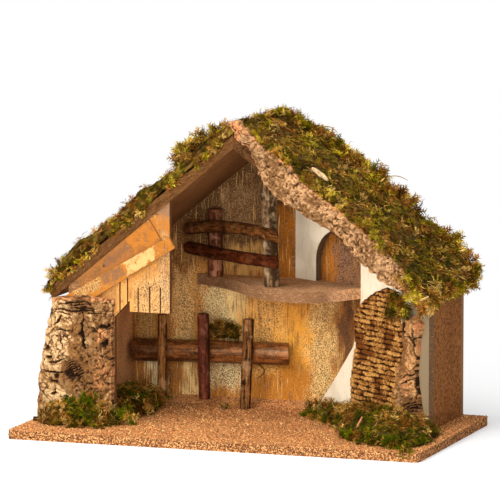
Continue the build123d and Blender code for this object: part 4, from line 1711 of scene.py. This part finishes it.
@dataclass(frozen=True)
class Studio:
    """Pale floor, soft lamps and the photograph's viewpoint.

    A lamp is a name, an azimuth and elevation in degrees, a size in metres and a power in watts.
    """

    azimuth: float = 19.043
    elevation: float = 7.518
    distance: float = 6.063208
    target: Place = (0.000194, 0.0, 0.21479)
    lens: float = 374.4
    sensor: float = 36.0
    floor_size: float = 30.0
    floor_fade: Pair = (0.28, 0.75)
    sky: float = 0.33
    lamp_distance: float = 2.0
    lamps: tuple[tuple[str, float, float, float, float], ...] = (
        ("key", -18, 26, 0.8, 26),
        ("front fill", 16, 8, 1.0, 17.5),
        ("right fill", 66, 20, 1.6, 7),
        ("top", -30, 64, 1.6, 42),
        ("back fill", 190, 40, 1.8, 6),
    )

    def aim(self, thing: bpy.types.Object, azimuth: float, elevation: float, distance: float) -> None:
        """Places a lamp or the camera on a sphere around the target, facing it.

        Args:
            thing: the lamp or camera.
            azimuth: degrees from the front towards the right.
            elevation: degrees above the target.
            distance: metres from the target.
        """
        turn, rise = radians(azimuth), radians(elevation)
        away = Vector((sin(turn) * cos(rise), -cos(turn) * cos(rise), sin(rise)))
        thing.location = Vector(self.target) + distance * away
        thing.rotation_euler = away.to_track_quat("Z", "Y").to_euler()
        bpy.context.scene.collection.objects.link(thing)

    @staticmethod
    def seen(tree: bpy.types.NodeTree) -> Socket:
        """Tells which rays show the background.

        Args:
            tree: the nodes to add to.

        Returns:
            1 for camera, glossy and transmission rays, 0 for the rest.
        """
        path = tree.nodes.new("ShaderNodeLightPath")
        level = path.outputs["Is Camera Ray"]
        for ray in ("Is Glossy Ray", "Is Transmission Ray"):
            larger = tree.nodes.new("ShaderNodeMath")
            larger.operation = "MAXIMUM"
            tree.links.new(level, larger.inputs[0])
            tree.links.new(path.outputs[ray], larger.inputs[1])
            level = larger.outputs[0]
        return level

    def background(self) -> None:
        """White world: full white to the rays that show it, and a soft sky to the rest."""
        world = bpy.data.worlds.new("studio")
        world.use_nodes = True
        tree = world.node_tree
        shade = tree.nodes["Background"]
        shade.inputs["Color"].default_value = (1, 1, 1, 1)
        level = tree.nodes.new("ShaderNodeMapRange")
        level.inputs["To Min"].default_value = self.sky
        tree.links.new(self.seen(tree), level.inputs["Value"])
        tree.links.new(level.outputs[0], shade.inputs["Strength"])
        bpy.context.scene.world = world

    def floor_finish(self) -> Material:
        """Pale matte floor that turns plain white away from the stable, to the rays that show it.

        Returns:
            The floor's material.
        """
        graph = Graph("floor", 0.95, 0.1)
        graph.shader.inputs["Base Color"].default_value = (0.93, 0.93, 0.93, 1)
        distance = graph.node("VectorMath", {0: graph.coordinates["Object"]}, "Value", operation="LENGTH")
        far = graph.ramp(distance, *self.floor_fade, 0.35, 1.0)
        share = graph.math("MULTIPLY", far, self.seen(graph.tree))
        shown = graph.node("MixShader", {0: share, 1: graph.shader.outputs[0], 2: graph.node("Emission", {})})
        graph.feed(graph.tree.nodes["Material Output"].inputs["Surface"], shown)
        return graph.material

    def floor(self) -> None:
        """Pale matte floor, which keeps the stable's shadow."""
        half = self.floor_size / 2
        corners = [(-half, -half, 0), (half, -half, 0), (half, half, 0), (-half, half, 0)]
        mesh = bpy.data.meshes.new("floor")
        mesh.from_pydata(corners, [], [(0, 1, 2, 3)])
        mesh.materials.append(self.floor_finish())
        plane = bpy.data.objects.new("floor", mesh)
        bpy.context.scene.collection.objects.link(plane)

    def build(self) -> None:
        """Sets up the floor, world, lamps, camera and view transform."""
        self.floor()
        self.background()
        for name, azimuth, elevation, size, power in self.lamps:
            light = bpy.data.lights.new(name, "AREA")
            light.size = size
            light.energy = power
            self.aim(bpy.data.objects.new(name, light), azimuth, elevation, self.lamp_distance)
        optics = bpy.data.cameras.new("camera")
        optics.sensor_width = self.sensor
        optics.lens = self.lens
        camera = bpy.data.objects.new("camera", optics)
        self.aim(camera, self.azimuth, self.elevation, self.distance)
        bpy.context.scene.camera = camera
        bpy.context.scene.view_settings.view_transform = "Standard"


@dataclass
class Stable:
    """The whole stable: which finish each board gets, and the pieces that stand for bark, twigs and moss."""

    facade_turn: float = radians(30)
    facade_corner: Place = (214.5, 12.206, 10.5)
    right_turn: float = radians(37.6)
    left_turn: float = radians(39.5)
    left_fall: float = 0.824
    ridge: Place = (0.0, -60.0, 340.0)
    left_bark_start: Place = (-145.0, -58.0, 10.5)
    dull: MossColours = MossColours(live=((92, 78, 8), (76, 64, 4), (112, 96, 12)), live_share=0.35)

    def dress(self, node: str, finish: Material) -> None:
        """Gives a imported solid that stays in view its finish.

        Args:
            node: the solid's node.
            finish: its material.
        """
        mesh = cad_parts[node].data
        mesh.materials.clear()
        mesh.materials.append(finish)
        LOG.info("%s: dressed", node)

    def boards(self) -> None:
        """Finishes of the boards, plaster, granule layer and brad."""
        roof = Fibreboard("roof fibreboard", (132, 88, 50), (94, 60, 32), (102, 65, 32), (130, 88, 46))
        finishes = {
            "base_board": Fibreboard("fibreboard"),
            "arch_facade": Fibreboard("arch fibreboard", (116, 85, 60), (80, 58, 40), felt=2.2),
            # the left wall's inner face stands in the room's shade, so its board is much lighter than the
            # others: painted light
            "left_wall": Fibreboard("painted light left fibreboard", (228, 162, 104), (160, 108, 68), felt=2.4),
            "right_wall": Fibreboard("wall fibreboard", (148, 94, 49), (66, 38, 17), grain=(1, 1.6, 1.2),
                                     clouding=0.2, felt=2.8),
            "left_roof_slab": roof,
            # the right slab's sawn edge and its fibres are dark brown: a painted shadow under the fascia bark
            "right_roof_slab": replace(roof, name="shaded roof fibreboard", edge=(62, 40, 22),
                                       fibre=(84, 56, 33)),
            # the shelf's board is lighter than the other boards, standing in for light under the roof:
            # painted light
            "loft_floor": Fibreboard("painted light shelf fibreboard", (240, 182, 130), (130, 92, 60), (142, 103, 74),
                                     (196, 156, 118), felt=2.4),
            "plaster_coat": Plaster("plaster"),
            "granule_cover": Granules("granule layer"),
            "plank_brad": Brad("brad"),
        }
        for node, finish in finishes.items():
            self.dress(node, finish.material())

    def painted(self) -> None:
        """Finishes of the painted back wall, gable board, plank and batten."""
        ochre, orange = (190, 118, 46), (198, 124, 40)
        grey, umber, ashen = (98, 67, 38), (116, 74, 40), (122, 84, 56)
        speckle, wash = Stroke.SPECKLE, Stroke.WASH
        wall = Fibreboard("bare wall", face=(146, 106, 70), shade=(112, 78, 48), clouding=0.6)
        on_wall = rows(
            Patch,
            # the grey-brown patch over the upper wall is paint, darkened further as painted shade under the
            # roof
            (-40, 60, 175, 128, ochre, 0.95), (-60, 252, 150, 64, grey, 0.95),
            (-150, 198, 44, 36, (118, 74, 36), 0.9), (-191, 60, 6, 60, umber, 0.9),
            (12, 92, 28, 46, (246, 170, 64), 1.0), (-11, 36, 46, 28, orange, 0.95),
            (1, 205, 15, 48, (174, 100, 24), 1.0), (57, 191, 13, 32, (210, 126, 42), 1.0),
            (-145, 100, 6, 20, (180, 106, 40), 0.95), (-147, 37, 10, 26, umber, 0.75),
            (-76, 24, 22, 13, orange, 0.9), (-175, 100, 13, 20, (200, 154, 88), 0.85, speckle),
            (-168, 44, 9, 22, (255, 228, 168), 1.0), (-126, 118, 19, 52, (250, 200, 126), 0.9, speckle),
            (-126, 180, 16, 26, (170, 122, 66), 0.5, speckle), (-107, 120, 10, 44, (196, 128, 52), 0.85),
            (-86, 130, 16, 27, (255, 226, 160), 1.0, speckle), (-64, 110, 16, 42, (255, 222, 150), 1.0),
            (-44, 104, 15, 33, (246, 180, 90), 0.85), (-23, 96, 19, 48, (252, 190, 104), 0.8, speckle),
            (-122, 40, 11, 28, (255, 214, 142), 0.9), (-76, 50, 24, 20, (255, 226, 164), 1.0, speckle),
            (48, 80, 18, 64, (255, 210, 134), 0.85, speckle), (80, 112, 12, 44, ashen, 1.0, speckle),
            (80, 181, 14, 28, (170, 124, 92), 1.0, speckle), (-52, 188, 28, 24, (228, 172, 96), 0.8),
            (-56, 246, 28, 30, (182, 140, 94), 0.65, speckle),
        )
        on_gable = rows(
            Patch,
            (-110, 180, 60, 80, (190, 136, 74), 0.9), (-100, 158, 22, 26, (208, 160, 100), 0.95, speckle),
            (-120, 195, 40, 14, (198, 132, 60), 0.7, wash, 39.5),
            (-84, 190, 8, 60, (190, 152, 106), 0.7, speckle), (-135, 165, 12, 24, (208, 146, 78), 0.9),
            # the dark wash at across -141 makes the leg's front-lit strip as dark as the shaded left wall
            # beside it: painted shade
            (-141, 66, 8, 72, (100, 64, 38), 1.0, wash), (-90, 247, 16, 13, (176, 108, 42), 1.0, wash, 36),
            (-82, 268, 14, 9, (140, 104, 74), 0.9, wash, 36),
        )
        plank = Fibreboard("bare plank", (166, 110, 56), (124, 80, 40))
        on_batten = rows(
            Patch,
            (-130, 200, 90, 60, (172, 106, 38), 0.95), (-147, 186, 15, 7, (132, 90, 58), 0.95, wash, 31),
            (-178, 170, 18, 7, (190, 144, 86), 0.95, speckle, 31),
            (-113, 206, 22, 7, (212, 164, 102), 1.0, wash, 31),
        )
        on_plank = rows(
            Patch,
            (-130, 210, 90, 60, (148, 92, 42), 0.9), (-104, 238, 28, 12, (174, 106, 38), 0.95, wash, 36),
            (-142, 211, 20, 5, (124, 84, 54), 0.9, wash, 36),
            (-180, 182, 22, 5, (138, 92, 50), 0.8, speckle, 36),
        )
        finishes = {
            "back_wall": PaintedBoard("painted wall", on_wall, wall),
            # the gable's darker sides are painted shade in its slots
            "gable_board": PaintedBoard("painted gable", on_gable, wall, sway=10.0, fade=8.0,
                                        sides=(104, 70, 44)),
            "gable_batten": PaintedBoard("painted batten", on_batten, plank, sway=8.0, fade=3.0),
            "gable_plank": PaintedBoard("painted plank", on_plank, plank, sway=8.0, fade=4.0),
        }
        for node, finish in finishes.items():
            self.dress(node, finish.material())

    def bark(self) -> None:
        """The three pieces of cork bark and the embossed stones."""
        corner = Bench(self.left_bark_start, UP, (-1, 0, 0), FRONT)
        marks = rows(
            Mark,
            (139, 42, 8, 10, 2.6, 0, 2.6), (133.5, 43, 1.1, 27, 1.6), (142, 52, 1, 12, 1.4, 8),
            (129, 60, 0.9, 11, 1.4, -8), (130.5, 22, 0.9, 12, 1.4, 5), (136, 30, 1, 10, 1.4),
            (108, 37.5, 21, 1.4, 3), (107, 38.6, 4.2, 2.8, 4), (93, 36, 5, 1.8, 3),
            (116.8, 9.8, 3.4, 4.6, 5), (97, 10.4, 4.6, 3.2, 5), (64, 46, 14, 9.5, 2.2, 35, 3),
            (57, 53, 7, 5, 2.4, 20), (127.5, 80.5, 3.6, 4.5, 2.4), (88, 81.5, 2.4, 4, 2.4),
            (76.5, 78, 2.2, 3, 2), (72.5, 70, 1.1, 8, 1.6, 24), (60.5, 72, 1.2, 15, 1.8, -4),
            (54.5, 68.5, 3.4, 2.6, 2.6), (48, 72, 1.6, 6, 2.2), (33.5, 70, 1.1, 4, 1.6),
            (120, 68, 1, 7, 1.2, 40), (97, 64, 7, 0.8, 1, 12), (110, 60, 0.8, 10, 1),
        )
        # darker to the right and lighter to the left: partly the bark's own tone, partly painted shade and
        # light
        stains_and_shading = rows(
            Mark,
            (80, 16, 80, 32, 0.4), (84, 46, 18, 16, 0.45), (120, 42, 18, 14, 0.35), (56, 44, 26, 18, 0.5),
            (90, 72, 70, 24, -0.4), (30, 56, 26, 44, 0.3),
        )
        fresh = rows(Mark, (149, 48, 5, 70, 1.3), (106, 12, 16, 7, 0.9), (60, 16, 30, 12, 0.55))
        BarkPiece("left_bark", "left_bark_slab", "cork_bark", corner, 13.0, 0.55, 11, ragged=1.8,
                  plate_depth=1.0, crack_share=0.5, crumb=1.3, crag=0.9, pits=0.07, coarse=1.0, marks=marks,
                  stains_and_shading=stains_and_shading, fresh=fresh).build(Bark("cork bark").material())
        turn, slope = self.facade_turn, self.right_turn
        pier = Bench(self.facade_corner, UP, (-cos(turn), sin(turn), 0.0), (-sin(turn), -cos(turn), 0.0))
        marks = rows(
            Mark,
            (27, 21, 8, 13, 2.4, 14, 3.4), (96, 44, 16, 1.6, 2), (73, 15, 46, 1.1, 1.6, 1),
            (64, 24, 0.9, 12, 1.4, 16), (58, 25, 0.9, 12, 1.4, 18), (82, 42, 4, 3.4, 2.6),
            (108, 18, 1, 12, 1.4), (117, 34, 8, 2, 1.6),
        )
        fresh = rows(Mark, (70, 6, 90, 7, 1.5), (52, 30, 18, 9, 0.6))
        strip = Bark("strip bark", (208, 154, 98), (140, 94, 54), cut=(184, 116, 74), greying=0.35)
        BarkPiece("right_bark", "right_bark_strip", "cork_bark", pier, 9.5, 0.5, 23, plate=(16.0, 12.0),
                  lump=6.0, crumb=2.0, crag=1.6, crevice=0.4, pits=0.06, marks=marks,
                  stains_and_shading=rows(Mark, (100, 42, 40, 12, 0.4)), fresh=fresh).build(strip.material())
        eaves = Bench(self.ridge, (cos(slope), 0, -sin(slope)), (sin(slope), 0, cos(slope)), FRONT)
        fresh = rows(Mark, (-12, 14, 16, 22, 0.9), (130, 30, 150, 5, 0.9))
        crumbly = Bark("fascia bark", (196, 150, 104), (130, 92, 56), flake=2.0)
        BarkPiece("fascia_bark", "bark_fascia", "cork_bark", eaves, 10.0, 0.6, 37, plate=(15.0, 11.0),
                  plate_depth=2.4, crack_size=9.0, crack_share=0.05, crumb=2.4, lump=4.0, crag=2.2, pits=0.14,
                  ragged=4.0, fresh=fresh).build(crumbly.material())
        StoneSheet("pier_stones", "stone_panel", "embossed_stones", pier, 4.2, 0.52, 41, ragged=0.6,
                   edge_width=3.0).build(Stones("embossed stones").material())

    def twigs(self) -> None:
        """The loft's posts and rails, and the rack, each with its own bark."""
        rail, upright, cut = (0.8237, -0.5669, 0.0), (0.0, 0.0, 1.0), (0.95, 0.31, 0.0)
        # each twig's side angle sets where its painted highlight runs; its flanks get painted shade
        pieces = (
            (Twig("short_post", upright, 1, "red_twig", 3, painted_highlight_side=100.0),
             TwigBark("post twig", (150, 86, 56), (56, 27, 16), (172, 118, 90), (84, 48, 32), 0.42, 0.25)),
            (Twig("tall_post", upright, 1, "grey_twig", 5, painted_highlight_side=62.0, painted_shade_contrast=0.7,
                  last_probe_gap=0.14, knots=((0.42, 250, 6.0), (0.2, 300, 5.0), (0.62, 60, 5.0))),
             TwigBark("grey twig", (146, 113, 78), (60, 41, 25), (192, 160, 120), (104, 72, 42))),
            (Twig("upper_rail", rail, 2, "red_twig", 7, 0.09, ((0.45, 60, 5.0),), cut, grain_length=7.0,
                  painted_highlight_side=0.0, painted_shade_contrast=0.3),
             TwigBark("red twig", (118, 70, 32), (48, 25, 11), (142, 100, 60), (62, 34, 16))),
            (Twig("lower_rail", rail, 2, "red_twig", 9, 0.09, ((0.3, 80, 5.0),), cut, grain_length=7.0,
                  painted_highlight_side=0.0, painted_shade_contrast=0.3),
             TwigBark("russet twig", (92, 38, 16), (36, 15, 6), (116, 64, 36), (52, 27, 13))),
            (Twig("rack_log", (1.0, 0.0, 0.018), 1, "dark_twig", 13, 0.03, ((0.93, 110, 5.0),), cut, 0.17,
                  painted_highlight_side=5.0, painted_shade_contrast=0.3),
             TwigBark("dark twig", (162, 96, 47), (70, 37, 16), (184, 122, 70), (74, 42, 22), 0.28, 0.85, 0.2,
                      (255, 214, 168))),
            (Twig("rack_upright_left", upright, 1, "brown_twig", 15, 0.06, painted_highlight_side=95.0),
             TwigBark("pale twig", (162, 106, 56), (60, 34, 15), (194, 144, 92), (96, 60, 32))),
            (Twig("rack_upright_middle", upright, 1, "dark_twig", 17, 0.04, painted_highlight_side=95.0),
             TwigBark("burgundy twig", (126, 60, 42), (48, 20, 13), (160, 104, 84), (76, 40, 22), 0.4, 0.2)),
            (Twig("rack_upright_right", upright, 1, "brown_twig", 19, 0.08, painted_highlight_side=95.0,
                  knots=((0.5, 270, 4.5), (0.55, 100, 4.0), (0.3, 80, 3.5))),
             TwigBark("brown twig", (148, 96, 52), (46, 26, 12), (190, 146, 102), (96, 60, 32))),
        )
        for twig, bark in pieces:
            twig.build(bark.material())

    def moss(self) -> None:
        """Moss on both roof slabs, on the ground, on the wall and on the pier."""
        finish = Tinted("moss").material()
        behind = (sin(self.facade_turn), cos(self.facade_turn), 0.0)
        green = MossColours(live=((100, 98, 6), (70, 80, 3), (122, 108, 12), (56, 52, 2)), live_share=0.45)
        pieces = (
            Moss("right_roof_moss", 2, 5600, 51, MossColours(live_share=0.40), shy=(DOWN, (-1, 0, 0))),
            Moss("left_roof_moss", 2, 5600, 52, MossColours(live_share=0.42), (3.5, 7.0), (6.0, 11.0),
                 shy=(DOWN, (1, 0, 0), (-0.77, 0, -0.64)), left_limit=-231.0),
            Moss("left_ground_moss", 1, 5600, 53, green,
                 walls=("left_wall", "gable_board", "left_bark_slab")),
            Moss("right_ground_moss", 1, 5600, 54, green, shy=(DOWN, behind)),
            Moss("wall_moss", 1, 900, 55, self.dull, (3.0, 6.0), (5.0, 9.0), inset=3.5, lumps=1.5,
                 shy=((0, 1, 0), DOWN), voxel=2.0),
            Moss("pier_moss", 1, 600, 56, self.dull, (4.0, 7.0), (6.0, 11.0), inset=6.5, lumps=2.0,
                 shy=(behind,), voxel=2.0),
        )
        for piece in pieces:
            piece.build(finish)

    def loose_moss(self) -> None:
        """Moss that hangs over the roof's edges and climbs from the ground."""
        finish = Tinted("loose moss").material()
        fall = self.left_fall
        over_left = tuple(
            Fringe((-x0, -61.5, 356 - fall * x0), (-x1, -61.5, 356 - fall * x1), (-0.2, -0.8, -0.4), 2.2,
                   fronds, (3.5, 8.0))
            for x0, x1, fronds in ((14, 46, 150), (62, 80, 80), (100, 146, 180), (164, 190, 110),
                                   (218, 231, 120), (196, 218, 160)))
        standing = tuple(
            Fringe((7 - x, -46, 372 - fall * x), (-7 - x, -44, 360 - fall * x), (-0.35, -0.1, 0.95), 2.5, 110,
                   (7.0, 13.0))
            for x in (120, 142, 161, 176, 201, 219))
        bush = rows(
            Fringe,
            ((-72, -44, 310), (-14, -46, 356), (-0.4, -0.2, 0.9), 5, 640, (9, 15)),
            ((-72, -42, 322), (-42, -44, 346), (-0.3, -0.2, 0.9), 4, 480, (8, 15)),
        )
        over_right = rows(
            Fringe,
            ((212, -70, 205), (236, -69, 168), (0.1, -0.6, -0.8), 5, 360, (7, 14)),
            ((229, -56, 177), (230, 136, 177), (0.5, 0, -0.8), 3.5, 900, (8, 15)),
            ((150, -62, 262), (196, -64, 226), (0, -0.8, -0.2), 3, 240, (5, 10)),
            ((20, -62, 362), (150, -62, 262), (0, -0.7, 0.4), 2.5, 420, (4, 9)),
            ((24, 116, 352), (56, 120, 330), (0.3, 0, 0.9), 4, 260, (7, 14)),
            ((56, 118, 331), (164, 122, 248), (0.35, 0, 0.9), 4, 1200, (7, 16)),
            ((176, 122, 234), (222, 128, 196), (0.4, 0.1, 0.9), 2.5, 150, (6, 12)),
            ((206, 112, 214), (232, 118, 192), (0.5, 0, 0.85), 4, 320, (7, 15)),
            ((232, 112, 182), (239, 124, 190), (0.8, 0, 0.25), 2.5, 180, (6, 10)),
        )
        clumps = tuple(
            Fringe((x - 6, 117, z + 4.6), (x + 6, 119, z - 4.6), (0.5, 0.0, 0.85), 2.5, fronds, (8.0, 15.0))
            for x, z, fronds in ((121, 294, 80), (160, 262, 50), (196, 229, 40), (210, 222, 40)))
        ridge = rows(
            Fringe,
            ((-2, -48, 359), (2, 40, 367), (-0.4, -0.2, 0.8), 2.5, 300, (4, 8)),
            ((2, 40, 367), (4, 92, 366), (-0.4, -0.2, 0.7), 2.5, 160, (4, 7)),
            ((-2, 90, 360), (10, 130, 361), (-0.6, -0.6, 0.3), 2.5, 200, (3.5, 6.5)),
        )
        climbing = rows(
            Fringe,
            ((-206, -74, 30), (-148, -74, 36), (0, -0.7, 0.7), 6, 520, (6, 11)),
            ((-166, -80, 13), (-130, -58, 15), (0.1, -0.5, 0.8), 6, 460, (6, 11)),
            ((44, 92, 12), (86, 72, 20), (-0.2, -0.6, 0.6), 5, 340, (6, 11)),
            ((47, 74, 12), (84, 30, 13), (-0.4, -0.5, 0.5), 5, 300, (6, 11)),
            ((128, -56, 12), (176, -103, 12), (-0.4, -0.8, 0.15), 4, 260, (5, 10)),
            ((176, -104, 12), (236, -122, 12), (0, -0.9, 0.15), 4, 260, (5, 10)),
            ((226, -129, 12), (238, -133, 11), (0.1, -0.8, -0.35), 2.5, 170, (7, 13)),
            ((-206, -100, 12), (-136, -92, 12), (0, -0.9, 0.15), 4, 240, (5, 10)),
            ((-55, 78, 11), (-52, 80, 11), (0, -0.2, 0.9), 3, 40, (4, 8)),
            ((-152, 122, 15), (-140, 121, 15), (0.2, -0.8, 0.4), 2.5, 60, (5, 10)),
        )
        on_wall = rows(Fringe, ((-92, 121, 100), (-56, 121, 100), (0.0, -0.7, 0.5), 4.5, 220, (4.0, 7.0)))
        on_pier = rows(Fringe, ((172, 26, 172), (182, 20, 146), (-0.3, -0.6, -0.7), 4.0, 260, (6.0, 12.0)))
        dark_dry = ((124, 82, 28), (150, 106, 42), (98, 60, 16), (170, 128, 64), (74, 44, 12))
        green = MossColours(live=((98, 104, 6), (74, 82, 3), (60, 62, 2)), live_share=0.6)
        pieces = (
            LooseMoss("left_roof_fringe", over_left + standing, 81),
            LooseMoss("left_roof_bush", bush, 85, MossColours(dark_dry, live_share=0.3)),
            LooseMoss("right_roof_fringe", over_right + clumps + ridge, 82),
            LooseMoss("ground_fringe", climbing, 83, green),
            LooseMoss("wall_fringe", on_wall, 86, self.dull),
            LooseMoss("pier_fringe", on_pier, 84),
        )
        for piece in pieces:
            piece.build(finish)

    def straws(self) -> None:
        """The chip, wisps, twig and straw in the moss, and the tendril on the rack's log."""
        finish = Tinted("straws", 0.7).material()
        wisps = (
            ((118, 118, 282), (136, 116, 302), (156, 118, 289)),
            ((128, 120, 274), (150, 118, 292), (158, 116, 276)),
            ((150, 120, 258), (172, 122, 282), (166, 118, 264)),
            ((40, 116, 346), (60, 114, 356), (70, 116, 342)),
        )
        pieces = (
            Straw("roof_chip", ((84, -25, 317), (94, -24, 311), (103, -22, 303)), 1.2, 3.0, (228, 190, 142),
                  jag=0.2),
            *(Straw(f"roof_wisp_{number}", wisp, 0.55, 0.55, (158, 134, 62), "moss")
              for number, wisp in enumerate(wisps, 1)),
            Straw("ground_twig", ((150, -62, 20), (155, -64, 28), (158, -62, 36)), 1.3, 1.3, (206, 138, 92)),
            Straw("log_tendril", ((-37, 112, 65), (-6, 105, 58), (-28, 108, 46)), 0.7, 0.7, (92, 58, 34)),
            Straw("eave_straw", ((227, -75, 173), (234, -78, 178), (241, -74, 181)), 1.1, 1.1,
                  (228, 186, 118)),
        )
        for piece in pieces:
            piece.build(finish)

    def build(self) -> None:
        """Builds every piece and dresses every solid."""
        self.boards()
        self.painted()
        self.bark()
        self.twigs()
        self.moss()
        self.loose_moss()
        self.straws()
        loose = Tinted("loose bits").material()
        GrainCover().build(loose)
        right = (cos(self.right_turn), 0, -sin(self.right_turn))
        left = (-cos(self.left_turn), 0, -sin(self.left_turn))
        sawn = ((130, 88, 48), (106, 69, 36), (90, 57, 29), (148, 105, 61))
        # the right slab's edge fibres are dark: painted shadow under the fascia bark
        shaded = ((80, 53, 30), (62, 40, 22))
        SawnFibres("left_roof_slab", 700, FRONT, left, 61, colours=sawn).build(loose)
        SawnFibres("right_roof_slab", 300, FRONT, right, 62, colours=shaded).build(loose)
        SawnFibres("loft_floor", 900, (-0.4, -0.9, 0), (0.8, -0.5, 0), 63, 0.35, (2.0, 6.0)).build(loose)


def main() -> None:
    """Builds the stable and its studio."""
    logging.basicConfig(level=logging.INFO)
    Stable().build()
    Studio().build()
    bpy.context.view_layer.update()


if __name__ == "__main__":
    main()
